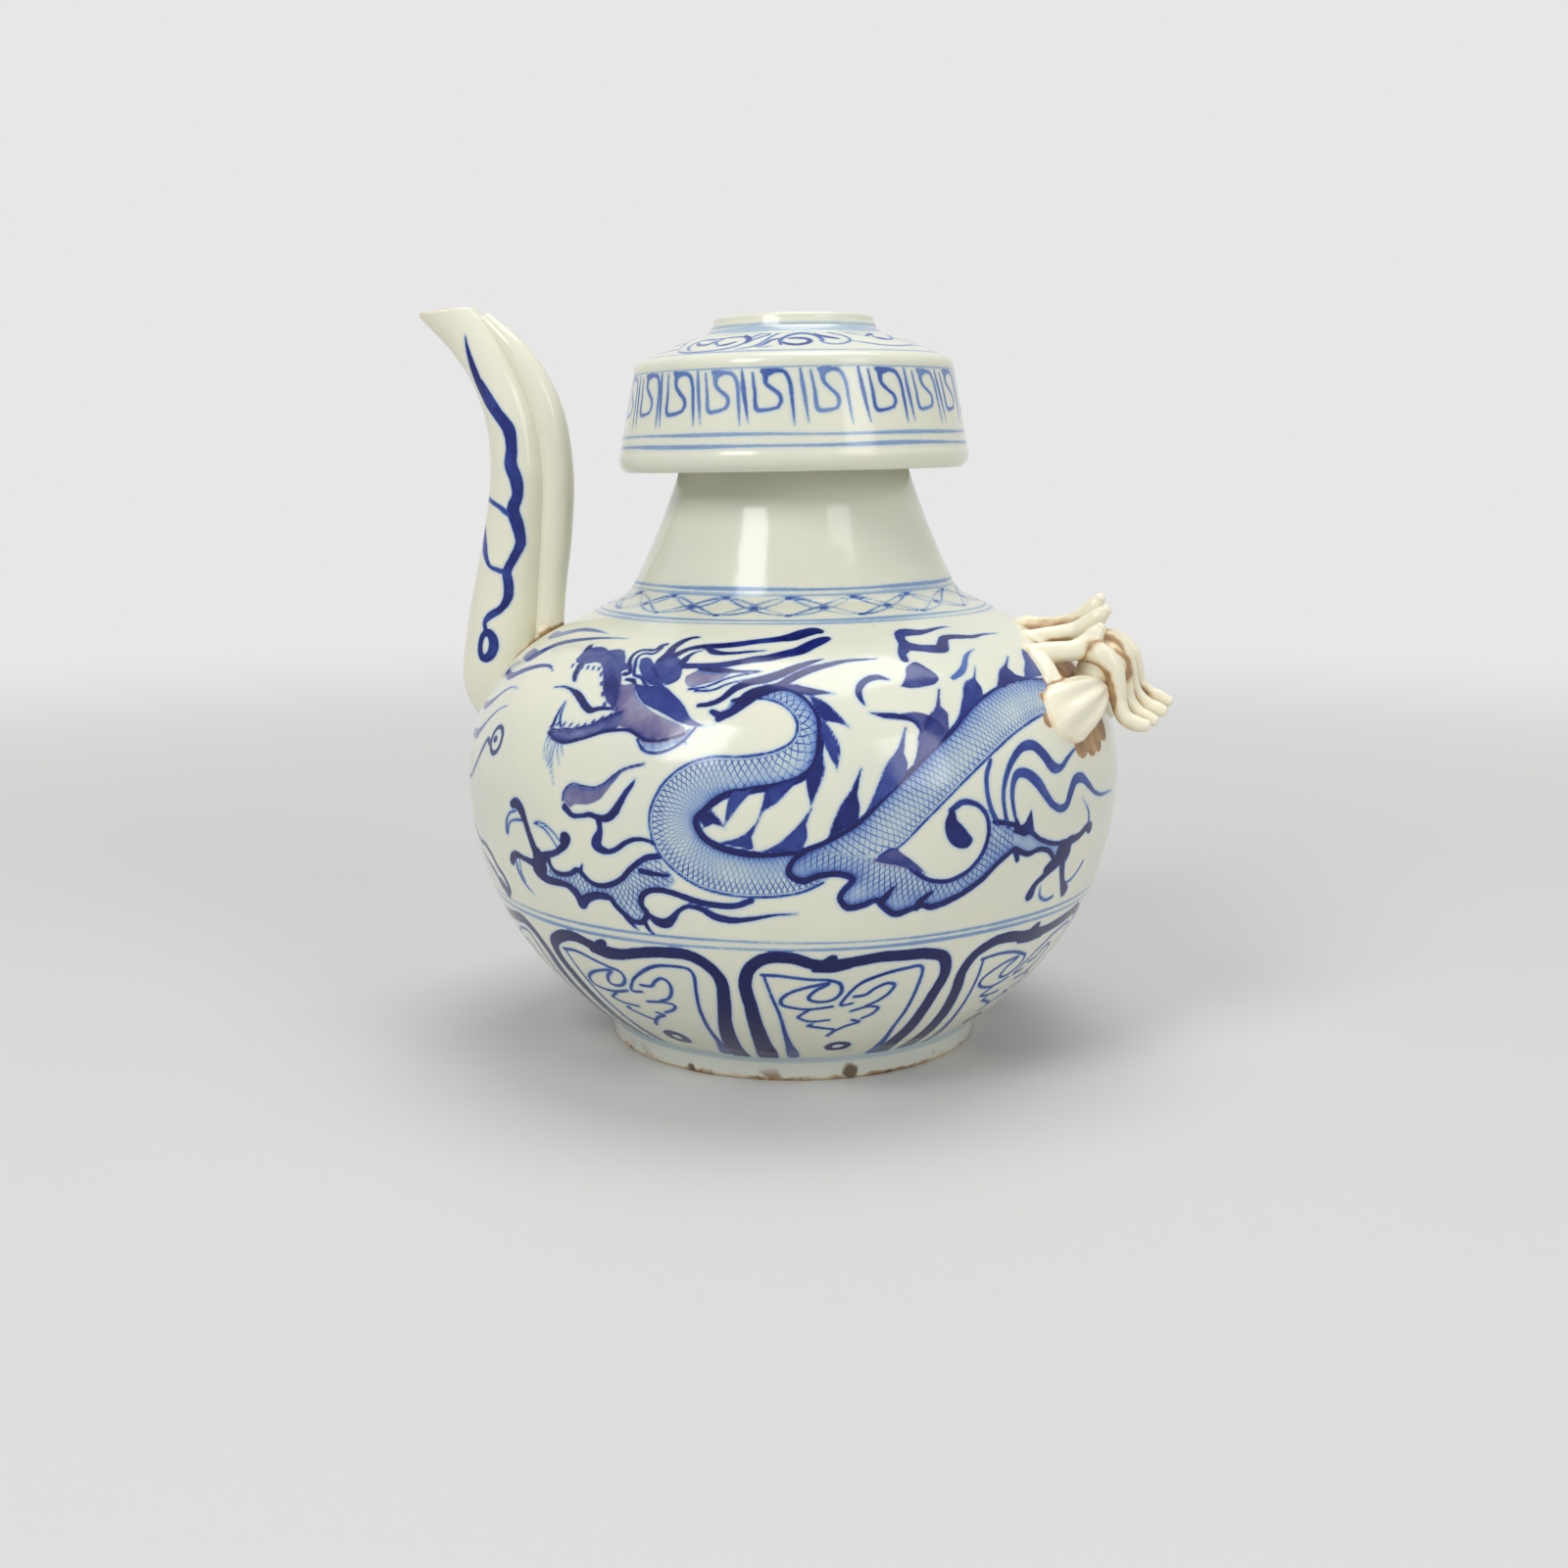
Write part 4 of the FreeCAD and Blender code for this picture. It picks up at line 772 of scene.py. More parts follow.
    # Flames before the breast
    flame = [(-59.2, 3), (-59, 5), (-56.5, 7.2), (-53, 7), (-49.5, 7), (-47, 8), (-44.5, 10),
             (-42, 11.8), (-39, 12.8), (-36.5, 13.4), (-39, 12.3), (-42, 11), (-44, 8.5), (-46, 6),
             (-48, 4), (-51, 2.8), (-55.5, 2.2), (-56.5, 1.5)]
    wash(flame, 0.5, warm=0.9)
    draw(flame[:10], 0.75, 0.7, warm=0.5)
    for track in (
            [(-58.5, 1.5, 2), (-56, -0.2, 1.4), (-53, 0, 1.2), (-50.5, 0.5, 1.4), (-48, 0, 1.6),
             (-45.5, 0.2, 2), (-43.5, 1.7, 2.2), (-42, 4, 1.8), (-40.5, 6.5, 1.4), (-39, 8.5, 1),
             (-38.3, 9.8, 0.3)],
            [(-48, -0.5, 1.6), (-47.7, -3, 1.6), (-48.5, -5, 2.6), (-49, -6.5, 3), (-48, -7.5, 2.4),
             (-45.5, -8, 1.4), (-43, -7, 1.2), (-40.5, -5.3, 1.2), (-38, -4.3, 1.2), (-35, -4.3, 1),
             (-33, -5, 1)],
            [(-36, -23.5, 1.2), (-34.5, -25, 2.4), (-32, -25.3, 2.8), (-30, -23.8, 2),
             (-28, -21.5, 1.2), (-25.5, -20.2, 1.2), (-22, -20.8, 1.5), (-19, -22.5, 2),
             (-15, -23.3, 1.8), (-10, -22.8, 1.2), (-5, -21.8, 0.8), (1, -21.3, 0.2)]):
        draw(track, 0.82)

    # Fore leg and paw
    upper = [(-32, -8), (-35, -8.5), (-37.5, -10), (-40, -12), (-42.5, -14.5), (-45, -16),
             (-48, -17), (-51, -17), (-53, -16), (-55, -14.2), (-54, -12.2), (-56, -13.8),
             (-58, -15), (-61, -15.8), (-64, -15.5), (-65.5, -14), (-65.8, -12)]
    lower = [(-67, -18.5), (-63, -18.5), (-59.5, -18.5), (-58, -19.5), (-57, -21), (-56, -21.3),
             (-53, -20), (-50, -19.5), (-47, -20), (-45.5, -22), (-43.5, -24), (-41.5, -25.5),
             (-39, -25.8), (-37.5, -24.5), (-36.8, -23), (-38, -21), (-37.5, -18.5), (-35, -16.8),
             (-31.5, -16.5), (-28, -17.3), (-22, -19), (-14, -19.5), (-10, -18)]
    arm = [p for p in upper if p != (-54, -12.2)] + lower[:-4] + [(-28, -14)]
    wash(arm, 0.3, spine=lower, fade=(0.14, 3.0))
    wash(arm, kind="scale", flow=[(-66, -17), (-56, -17), (-48, -19), (-40, -19), (-30, -12)])
    draw([(u, v, 1.5) for u, v in upper[:10]], 0.85)
    draw([(-55, -14.2, 1.4), (-54, -12.2, 0.4)], 0.85)
    draw([(u, v, 1.4) for u, v in [(-55, -14.2)] + upper[11:]], 0.85)
    draw([(u, v, 1.6) for u, v in lower], 0.85)
    wash([(-60, -18), (-57, -19), (-55.5, -21), (-52, -19.5), (-48, -18.8), (-47, -20.5),
          (-51, -21), (-54, -22.5), (-55.8, -24.3), (-57.5, -24.3), (-58.5, -21.5), (-61, -19.3),
          (-66, -18.8)], 0.86)
    draw([(-37, -12, 1.6), (-33, -12.5, 1.3), (-30, -12.7, 1)], 0.85)
    draw([(-43, -25, 1.4), (-41.5, -27, 1), (-40, -28.3, 0.3)], 0.85)
    draw([(-38, -25.5, 1.4), (-37, -27.8, 1), (-35.5, -29, 0.3)], 0.85)
    draw([(-79.5, -0.5, 2.2), (-77.5, 0, 3), (-75.5, -1.2, 3), (-73.8, -4, 2.2), (-72.3, -7.5, 2.2),
          (-71, -10.5, 2.6), (-69.5, -13, 4)], 0.86)
    draw([(-78, -2, 0.8), (-81, -3, 0.8), (-83, -5.5, 1), (-83.2, -8, 1.8)], 0.6)
    draw([(-75.5, -4), (-78.5, -4.3), (-81.3, -5.5), (-82.6, -8)], 0.6, 0.8)
    draw([(-69, -13, 4), (-66, -11.5, 2), (-62, -10, 1.6), (-59.5, -8, 2.4), (-58.8, -6.3, 3.6)],
         0.86)
    draw([(-70.2, -4), (-68, -3.3), (-65, -4), (-62.5, -5.5), (-60.8, -7.2)], 0.6, 0.6)
    draw([(-69.5, -4), (-66.5, -4.7), (-64, -6.5), (-62, -8.8)], 0.6, 0.7)
    draw([(-70, -15, 4), (-73, -14.5, 2.2), (-76.5, -14, 1.6), (-80, -13.6, 2), (-82.3, -14.8, 2.4),
          (-83.3, -16, 2.2)], 0.86)
    draw([(-80.8, -15, 1), (-80.8, -18, 1.4), (-79.5, -20.5, 1.2), (-77.5, -22.5, 0.8),
          (-75.5, -23.5, 0.3)], 0.5)
    draw([(-79, -15), (-79.3, -18.5), (-78.5, -20.5)], 0.5, 0.7)
    draw([(-70, -12, 4), (-69.5, -15, 5), (-71, -16, 4), (-68, -18, 2.6), (-63, -18.3, 2),
          (-60, -18.5, 1.6)], 0.86)

    # The flames of the other one's tail, which reach this one's snout
    for track, tone in (
            ([(-78, 51.6, 0.2), (-85, 52, 1), (-92.3, 52, 1.6), (-99.4, 51.4, 2.2),
              (-104.4, 50, 2.8), (-110, 47.9, 3.5), (-115, 46.4, 3.8), (-122, 46.4, 3)], 0.5),
            ([(-63.7, 50.4, 0.2), (-70.9, 50, 0.6), (-78, 49.4, 1), (-85, 48.2, 1.6),
              (-90.9, 46.8, 2), (-96.6, 45, 2.6), (-100.9, 42.9, 3), (-103.4, 40, 4),
              (-105.9, 37.9, 4), (-110, 37.9, 4.5), (-115, 38, 4)], 0.62),
            ([(-82.6, 35, 0.3), (-86.6, 36.3, 0.9), (-91.6, 36, 1.3), (-97.3, 34.6, 1.8),
              (-103, 32.5, 2.2), (-108, 30.4, 2.4), (-112.3, 30.4, 2), (-118.7, 31, 1.6)], 0.7),
            ([(-95, 27.9, 0.3), (-99.4, 27.9, 0.5), (-103.7, 26.4, 0.7), (-108, 23.6, 1.2),
              (-112.3, 21.4, 2), (-117.3, 20.1, 2.2), (-121.6, 20, 1.5)], 0.7),
            ([(-95, 22.9, 0.3), (-99.4, 21.4, 0.5), (-103.7, 18.6, 0.8), (-108, 15.4, 1.4),
              (-112.3, 12.9, 2.6), (-118.7, 12.5, 2.4), (-128, 11.4, 1.6)], 0.7),
            ([(-97, 12.5, 1.6), (-99.4, 13.2, 1.4), (-101.6, 10.7, 1.3), (-104.4, 7.5, 1.2),
              (-108, 4.3, 1.1), (-112.3, 1.8, 1), (-117.3, 0.9, 0.8)], 0.8)):
        draw(track, tone)
    draw([(-118, -11, 1.4), (-113, -13, 1.6), (-108, -15, 1.6), (-103, -15, 1.4), (-98, -17, 1.5),
          (-95, -20, 1.5), (-92, -22, 1.6), (-91, -25, 2.0), (-94, -28, 1.2)], 0.84)
    draw([(-96, -24.5, 3.0), (-94, -26.5, 4.0)], 0.84, warm=0.3)
    draw([(-112, -18, 0.6), (-104, -20, 1.2), (-99, -22.5, 1.8), (-97, -26, 1.2)], 0.7, warm=0.3)
    draw([(-93 + 3.4 * math.cos(a), 13.9 + 3.4 * math.sin(a), 1.3)
          for a in np.linspace(0, 2 * math.pi, 13)], 0.84)
    draw([(-94.2, 14, 1.8), (-93.4, 14, 1.8)], 0.84)


dragon(0.0)
body.stroke([(75.4, 22.8, 1.4), (77.4, 21.9, 2.2)], 0.9)
dragon(math.pi * BELLY, sway=0.9)


# Lotus panels round the lower body
def wander(points, at, amount, seed):
    """The same stroke as another turn of the hand would lay it."""
    return [(u + at + amount * math.sin(0.31 * u + 0.17 * v + seed * 2.1),
             v + amount * math.cos(0.23 * u - 0.29 * v + seed * 1.3), w) for u, v, w in points]


def lotus_panel(at, seed, wide, jewel):
    def draw(points, tone, width=1.0):
        points = [(u * wide, v, w) for u, v, w in with_width(points, width)]
        body.stroke(wander(points, at, 0.45, seed), tone)

    draw([(-3, -79.6, 5.2), (-3, -76, 5.4), (-3, -70, 4.6), (-3.5, -60, 3.8), (-4.5, -50, 3.4),
          (-5.5, -43, 3.2), (-4, -38, 3.2), (1, -34.6, 3.4), (7, -34, 3.4), (13, -35.5, 3.2),
          (17, -36, 3.4), (23, -36, 3.2), (30, -35, 3.2), (37, -34.5, 3.4), (44, -34.5, 3.4),
          (49, -37, 3.2), (51.5, -42, 3.2), (51, -50, 3.4), (50, -58, 3.6), (49, -66, 4.2),
          (48, -73, 4.6), (48.6, -79.6, 4.4)], 0.96)
    draw([(16.8, -34.6, 2.4), (18.2, -33.8, 2.2)], 0.96)
    draw([(13, -37.2, 1.6), (18, -37.4, 2.4), (23, -37.2, 1.6)], 0.94)
    draw([(0, -39.5, 0.8), (1.5, -46, 0.9), (3.5, -55, 1.0), (5, -63, 1.3), (6.5, -70, 2.0),
          (8, -76, 3.2), (8.4, -78.5, 3.0)], 0.66)
    draw([(-0.5, -39.5), (5, -39.3), (12, -40.5), (17, -41.5), (20.5, -43), (21, -45.5), (19, -48),
          (16, -49), (13, -48.5), (12.5, -47.5), (14, -45), (17, -42.8), (12, -43.5), (7, -45.5),
          (4.3, -48), (4.5, -50), (8, -51.5), (13, -51.8), (19, -50.5)], 0.62, 1.1)
    draw([(13, -52), (10, -54.5), (9.5, -55), (13, -56.5), (19, -56.3)], 0.6, 1.1)
    draw([(14, -58), (13, -58.5), (18, -60.5), (21.5, -62), (20, -64.8)], 0.6, 1.2)
    draw([(42.6, -78.4, 3.4), (43, -74, 2.6), (43, -70, 1.8), (42.5, -63, 1.2), (43, -55, 1.1),
          (43.8, -47, 1.0), (44, -40, 1.0), (43, -38.5, 1.0), (38, -38.5, 1.1), (33, -39.5, 1.2),
          (27, -42.5, 1.1), (23.5, -46, 1.0), (21.3, -50, 1.0), (25, -49.5, 1.0)], 0.64)
    draw([(25.5, -47), (29, -46.5), (31, -44.5), (34, -43), (36, -44), (35.5, -47), (33, -50),
          (30, -51.5)], 0.62, 1.1)
    draw([(25, -53), (31, -52), (34, -53), (33, -55), (29.5, -57)], 0.6, 1.1)
    draw([(26, -57.5), (28.5, -58.5), (25, -60), (21.5, -62.5)], 0.6, 1.2)
    draw([(25 + jewel[0] * math.cos(a), -71 + jewel[1] * math.sin(a), jewel[2])
          for a in np.linspace(0, 2 * math.pi, 15)], 0.92)


# Three panels are placed as in the photograph, and six share the rest of the way round
ROUND_BELLY, PANEL_WIDTH = 2 * math.pi * BELLY, 63.7
edges = [-73.0, -9.5, 54.5, 119.0]
spare = (ROUND_BELLY - (edges[3] - edges[0])) / 6
edges += [edges[3] + spare * k for k in range(1, 6)] + [edges[0] + ROUND_BELLY]
jewels = [(3.9, 2.3, 2.4), (3.4, 2.1, 1.9), (3.6, 2.2, 2.1)]
for number, (edge, following) in enumerate(zip(edges, edges[1:])):
    lotus_panel(edge + 1.6, number * 1.7, (following - edge) / PANEL_WIDTH, jewels[number % 3])


def ring_line(chart, along, width, tone, waver=0.15, seed=0.0):
    """A line all the way round, laid in quarters so that none is too long."""
    for k in range(4):
        quarter = []
        for t in np.linspace(0, 1, 25):
            turn = (k + t) * math.pi / 2
            rise = waver * math.sin(3 * turn + seed) + waver * 0.5 * math.sin(7 * turn)
            quarter.append(((turn - math.pi) * chart.radius, along + rise,
                            width * (1 + 0.25 * math.sin(5 * turn + seed))))
        chart.stroke(quarter, tone)


for chart, *ring in ((body, -29.2, 0.8, 0.33, 0.3, 1.0), (body, -31.2, 1.0, 0.33, 0.3, 2.2),
                     (body, 72.6, 1.0, 0.34, 0.1, 0.4), (body, 71.1, 0.8, 0.28, 0.1, 1.4),
                     (body, 60.8, 1.1, 0.30, 0.15, 2.4), (body, 59.2, 0.9, 0.26, 0.15, 3.4),
                     (skirt, 178.6, 1.0, 0.25, 0.05), (skirt, 162.3, 0.9, 0.30, 0.15, 0.7),
                     (skirt, 159.6, 1.0, 0.31, 0.15, 1.9), (roof, -39.3, 0.8, 0.30, 0.1),
                     (roof, -23.2, 2.4, 0.22, 0.1, 1.1)):
    ring_line(chart, *ring)

# The band of knots on the shoulder: two wavy lines that cross, drawn as bowed pairs. Its
# places are counted at the band's own radius.
KNOTS, KNOT_RADIUS, KNOT_ALONG = 17, 56.0, 66.6
pitch = 2 * math.pi * KNOT_RADIUS / KNOTS
for number in range(KNOTS):
    centre = 9.0 + (number - KNOTS // 2) * pitch
    for hand in (1, -1):
        for side in (1, -1):
            bow = 1.2 + 0.15 * math.sin(number * 1.9 + hand)
            lens = []
            for t in np.linspace(-1, 1, 13):
                rise = hand * 3.75 * (0.72 * t + 0.28 * math.sin(t * math.pi / 2))
                rise += side * bow * math.cos(t * math.pi / 2)
                lens.append(((centre + t * pitch / 2) * BELLY / KNOT_RADIUS, KNOT_ALONG + rise,
                             0.55 + 0.2 * math.cos(2.5 * t + number)))
            body.stroke(lens, 0.46 + 0.1 * math.sin(number * 2.3 + side))
    for u, v, w in ((centre, KNOT_ALONG, 1.3), (centre + pitch / 2, 70.2, 1.1),
                    (centre + pitch / 2, 63.0, 1.1)):
        body.stroke([((u + end) * BELLY / KNOT_RADIUS, v, w) for end in (-0.6, 0.6)], 0.56)

# The key fret on the skirt
FRET = [
    [(-5.6, 178.3, 0.7), (-4.9, 174, 1.2), (-4.1, 169.5, 1.0), (-3.4, 165.4, 0.4)],
    [(-2.9, 177.6, 0.7), (-2.0, 172.8, 1.0), (-1.2, 168.4, 1.2), (1.2, 168.3, 1.0),
     (3.8, 168.9, 0.8)],
    [(-0.6, 177.9, 1.2), (0.6, 177.5, 2.0), (2.6, 177.8, 1.3), (5.0, 177.3, 1.1), (6.3, 175, 1.1),
     (6.9, 171, 1.0), (7.4, 166.8, 0.7), (7.6, 164.9, 0.3)],
    [(0.3, 177.2, 1.8), (0.5, 174.9, 1.2), (2.2, 173.2, 1.1), (3.9, 171.8, 1.1), (4.3, 170.2, 1.1),
     (3.6, 168.9, 0.9)],
]
fret_units = [-46.0, -33.5, -20.5, -7.5, 7.0, 22.5, 36.0, 49.0]
spare = (2 * math.pi * skirt.radius - (fret_units[-1] - fret_units[0])) / 14
fret_units += [fret_units[-1] + spare * (k + 1) for k in range(13)]
for number, centre in enumerate(fret_units):
    for track in FRET:
        track = [(u, v - 0.4, w) for u, v, w in track]
        skirt.stroke(wander(track, centre, 0.22, number * 1.3),
                     0.45 + 0.07 * math.sin(number * 2.7))

# Scrolls on the roof, between the ring under the mouth and the line near the edge. Each is
# its places (across, radius), its width and its tone.
SCROLLS = [
    ([(-12.5, 37.9), (-8.8, 36.2), (-7.0, 32.8), (-5.5, 29.6), (-3.0, 27.3), (1.0, 26.1),
      (4.0, 26.0), (7.8, 27.0), (11.0, 28.6), (13.8, 30.4), (14.2, 32.8), (12.0, 35.0), (9.4, 35.8),
      (7.2, 35.0), (6.2, 33.4)], 0.9, 0.46),
    ([(11.2, 32.2), (9.5, 31.4), (7.5, 30.4), (5.8, 29.0)], 1.5, 0.62),
    ([(-2.8, 35.7), (-3.2, 32.4), (-1.5, 29.9), (1.2, 28.6), (4.0, 28.9), (6.0, 30.3), (6.9, 32.2),
      (6.9, 33.8)], 1.3, 0.52),
    ([(-1.2, 31.7), (1.5, 31.6), (3.6, 32.4), (3.6, 34.4), (1.2, 35.8), (-1.2, 35.4),
      (-2.6, 34.0)], 1.5, 0.66),
    ([(-8.0, 36.6), (-6.5, 34.8), (-5.6, 32.8), (-3.8, 31.9), (-2.8, 32.8)], 1.2, 0.50),
    ([(-8.0, 36.8), (-6.0, 36.9), (-4.6, 36.3)], 0.8, 0.42),
    ([(-29.0, 37.0), (-25.5, 38.2), (-20.8, 38.4), (-16.8, 37.8), (-13.8, 36.4), (-12.2, 34.6),
      (-11.7, 32.4), (-13.2, 30.0), (-16.0, 29.6), (-19.4, 30.2), (-20.4, 32.6),
      (-18.2, 34.7)], 1.0, 0.48),
    ([(-18.2, 34.9), (-16.2, 34.3), (-14.6, 32.9)], 1.6, 0.62),
    ([(-25.0, 37.0), (-28.2, 34.4), (-29.0, 31.6), (-26.6, 30.2), (-22.6, 30.4),
      (-20.0, 30.0)], 1.1, 0.50),
    ([(-27.6, 32.0), (-24.4, 33.8), (-22.0, 33.4), (-21.4, 31.6)], 1.4, 0.62),
    ([(-13.6, 29.0), (-11.6, 31.2), (-11.4, 33.8)], 1.8, 0.66),
    ([(-11.5, 31.2), (-10.2, 29.0), (-7.8, 28.0), (-6.7, 28.7), (-8.2, 29.9), (-10.0, 31.6),
      (-11.0, 33.6)], 0.9, 0.46),
    ([(14.2, 27.3), (17.0, 28.7), (20.4, 29.6)], 0.8, 0.36),
    ([(25.4, 26.8), (24.0, 28.4), (20.8, 30.0)], 1.5, 0.60),
    ([(26.0, 26.8), (30.6, 27.0), (31.6, 29.0), (29.0, 31.4), (25.0, 32.0), (23.2, 31.2),
      (23.4, 29.8)], 1.1, 0.50),
    ([(24.4, 31.0), (26.6, 31.6)], 2.2, 0.66),
    ([(31.0, 30.6), (33.4, 31.8), (34.6, 34.0)], 1.2, 0.46),
    ([(14.2, 33.5), (17.5, 34.8), (20.8, 36.0), (26.0, 36.2), (33.0, 35.2),
      (36.5, 35.6)], 1.0, 0.44),
]
# The group stands three times round, each time from a new turn of the hand
for number in range(3):
    for track, width, tone in SCROLLS:
        ends = (0, len(track) - 1)
        track = [(u, -r, width * (0.6 if k in ends else 1)) for k, (u, r) in enumerate(track)]
        roof.stroke(wander(track, number * math.pi * roof.radius * 2 / 3, 0.25 * number,
                           number * 1.9), tone)


# Spout: its stations from the root upward, each (outward, up, lean in degrees, radius), with
# the places as shares of its rise and the radius as a share of the root's
SPOUT_OUT, SPOUT_UP = on_shoulder(math.radians(33))
SPOUT_RISE, ROOT_RADIUS = 100.0, 11.4
SPOUT_RUN = np.array([0, 9.0, 19.0, 35.2, 51.4, 66.9, 81.6, 94.7, 105.9, 116.1, 125.8])
SPOUT = np.array([
    (-0.023, -0.076, 45, 1.01), (0.027, -0.001, 14, 0.99), (0.021, 0.099, -7, 0.95),
    (-0.003, 0.259, -9, 0.87), (-0.028, 0.419, -7, 0.78), (-0.039, 0.574, 2, 0.73),
    (-0.017, 0.719, 15, 0.66), (0.036, 0.839, 30, 0.60), (0.102, 0.929, 41, 0.58),
    (0.172, 1.004, 45, 0.60), (0.240, 1.072, 45, 0.62),
]) * (SPOUT_RISE, SPOUT_RISE, 1, ROOT_RADIUS) + (SPOUT_OUT, SPOUT_UP, 0, 0)


def hermite(knots, values, at):
    """A smooth curve through rows of values at knots, not overshooting much."""
    slopes = np.gradient(values, knots, axis=0)
    k = np.clip(np.searchsorted(knots, at) - 1, 0, len(knots) - 2)
    h = (knots[k + 1] - knots[k])[..., None]
    t = (at - knots[k])[..., None] / h
    return cubic(t, values[k], slopes[k] * h, values[k + 1], slopes[k + 1] * h)


def spout_place(across, along, thinner=0.0):
    """across is the turn in degrees from the front side, outward positive."""
    out, up, lean, radius = np.moveaxis(hermite(SPOUT_RUN, SPOUT, along), -1, 0)
    radius = radius - thinner
    turn, lean = np.radians(across), np.radians(lean)
    away = radius * np.sin(turn)
    return np.stack([-(out + away * np.cos(lean)), -radius * np.cos(turn),
                     up - away * np.sin(lean)], -1)


def core_gap(points):
    """How far outside the turned body each point lies, along its profile's normal."""
    r, z = np.hypot(points[..., 0], points[..., 1]), points[..., 2] - BELLY_HEIGHT
    above = np.hypot(r - SHOULDER_AXIS, z) - SHOULDER_TURN
    below = np.hypot(r - (BELLY - LOWER_TURN), z) - LOWER_TURN
    return np.where(z >= 0, above, below)


BEAK_OUT, BEAK_UP, BEAK_FALL = SPOUT_OUT + 25.0, SPOUT_UP + 98.0, math.tan(math.radians(9.0))


def beak_gap(points):
    """How far above the slanting mouth each point lies."""
    return points[..., 2] - (BEAK_UP - BEAK_FALL * (-points[..., 0] - BEAK_OUT))


def crossing(gap, low, high, thinner=0.0):
    """Where along the tube each column crosses a surface, found by halving."""
    a, b = np.full(len(tube_turns), low), np.full(len(tube_turns), high)
    for _ in range(40):
        middle = (a + b) / 2
        outside = gap(spout_place(tube_turns, middle, thinner)) > 0
        a, b = np.where(outside, a, middle), np.where(outside, middle, b)
    return (a + b) / 2


TUBE_COLUMNS, OUTER_ROWS, INNER_ROWS, LIP_STEPS, TUBE_WALL, LIP = 220, 250, 26, 8, 2.6, 0.9
ROOT_SEARCH, MOUTH_SEARCH = (0.5, 30.0), (85.0, SPOUT_RUN[-1])
tube_turns = np.arange(TUBE_COLUMNS) * 360.0 / TUBE_COLUMNS
foot_line = crossing(lambda points: core_gap(points) + 0.25, *ROOT_SEARCH)
inner_foot = crossing(core_gap, *ROOT_SEARCH, TUBE_WALL)
mouth_line = crossing(beak_gap, *MOUTH_SEARCH)
inner_mouth = crossing(beak_gap, *MOUTH_SEARCH, TUBE_WALL)
tube_rows = []
for t in np.linspace(0, 1, OUTER_ROWS):
    along = foot_line + (mouth_line - LIP - foot_line) * t
    spot = spout_place(tube_turns, along)
    flare = 0.55 * np.exp(-((along - foot_line) / 2.2) ** 1.5)
    flare = flare * np.minimum(1, (along - foot_line) / 0.4)
    tube_rows.append(spot + (spot - spout_place(tube_turns, along, 1.0)) * flare[:, None])
for bend in np.arange(1, LIP_STEPS) / LIP_STEPS * math.pi / 2:
    along = mouth_line - LIP * (1 - math.sin(bend))
    tube_rows.append(spout_place(tube_turns, along, LIP * (1 - math.cos(bend))))
for bend in np.arange(LIP_STEPS) / LIP_STEPS * math.pi / 2:
    along = mouth_line * math.cos(bend) + (inner_mouth - LIP) * (1 - math.cos(bend))
    tube_rows.append(spout_place(tube_turns, np.minimum(along, mouth_line),
                                 LIP + (TUBE_WALL - LIP) * math.sin(bend)))
for t in np.linspace(0, 1, INNER_ROWS):
    along = inner_mouth - LIP + (inner_foot - inner_mouth + LIP) * t
    tube_rows.append(spout_place(tube_turns, along, TUBE_WALL))
tube_sheet = Sheet(np.stack(tube_rows))

# The track of a stroke on the spout is smoothed in millimetres, about the spout's radius
DEGREE, TUBE_STEP, TUBE_ROOM = 0.15, 0.5, 1.8


def paint_spout(points, tone):
    """A stroke on both sides: across in degrees, along in millimetres up the tube."""
    far_side = [(180 - u + 1.5 * math.sin(v * 0.4), v + 0.5 * math.sin(v * 0.3 + 1), w)
                for u, v, w in points]
    for given in (points, far_side):
        track = smooth([(u * DEGREE, v, w) for u, v, w in given], TUBE_STEP)
        spots = spout_place(track[:, 0] / DEGREE, track[:, 1])
        for a, b, widths in zip(spots, spots[1:], zip(track[:, 2], track[1:, 2])):
            away = np.abs(tube_sheet.places[:OUTER_ROWS] - (a + b) / 2).max(-1)
            tube_sheet.lay(np.nonzero(away < max(widths) / 2 + TUBE_ROOM), a, b, widths, tone)


for track, tone in (
        ([(-8.8, 104.6, 0.3), (2.5, 102.4, 0.9), (14, 99.5, 1.6), (26, 95, 2.6), (30, 91, 3),
          (24, 86, 3.2), (10, 81.5, 3.2), (-5, 77, 3.4), (-6, 72, 3), (-2, 67.5, 3.6),
          (-12, 63, 3.4), (-15, 59.5, 3), (-9, 55.5, 3.4), (-20, 51.5, 3.4), (-28, 47, 3),
          (-20, 43, 2.6), (-12, 39, 2.6), (-17, 35.5, 2.8), (-18, 32, 2.6), (-10, 29, 2),
          (6, 26.5, 2), (13, 24.5, 1.4), (10, 22.5, 1.4)], 0.74),
        ([(20, 92, 1.0), (16, 86, 2.4), (6, 81.5, 2.6), (-9, 77, 2.8), (-10, 72, 2.4),
          (-5, 67.5, 3), (-15, 63, 3), (-18, 59.5, 2.4), (-13, 55.5, 2.6), (-23, 51.5, 2.8),
          (-31, 47, 2.2)], 0.74),
        ([(5.6 + 11 * math.cos(a), 18.6 + 3.4 * math.sin(a), 2.3 - 0.6 * math.cos(a))
          for a in np.linspace(0, 2 * math.pi, 13)], 0.72),
        ([(-10, 53.6, 1.8), (5, 54.8, 1.6), (20, 56, 1.3), (40, 57, 1.4), (60, 57.6, 1.4),
          (80, 57.5, 1.6), (90, 57, 1.6)], 0.62),
        ([(-12, 38.6, 1.6), (5, 39, 1.4), (20, 39.5, 1.2), (35, 42, 2), (45, 44.5, 2.8),
          (60, 48.5, 2.4), (70, 49.5, 1.6), (85, 50, 1), (90, 50, 0.4)], 0.64),
):
    paint_spout(track, tone)


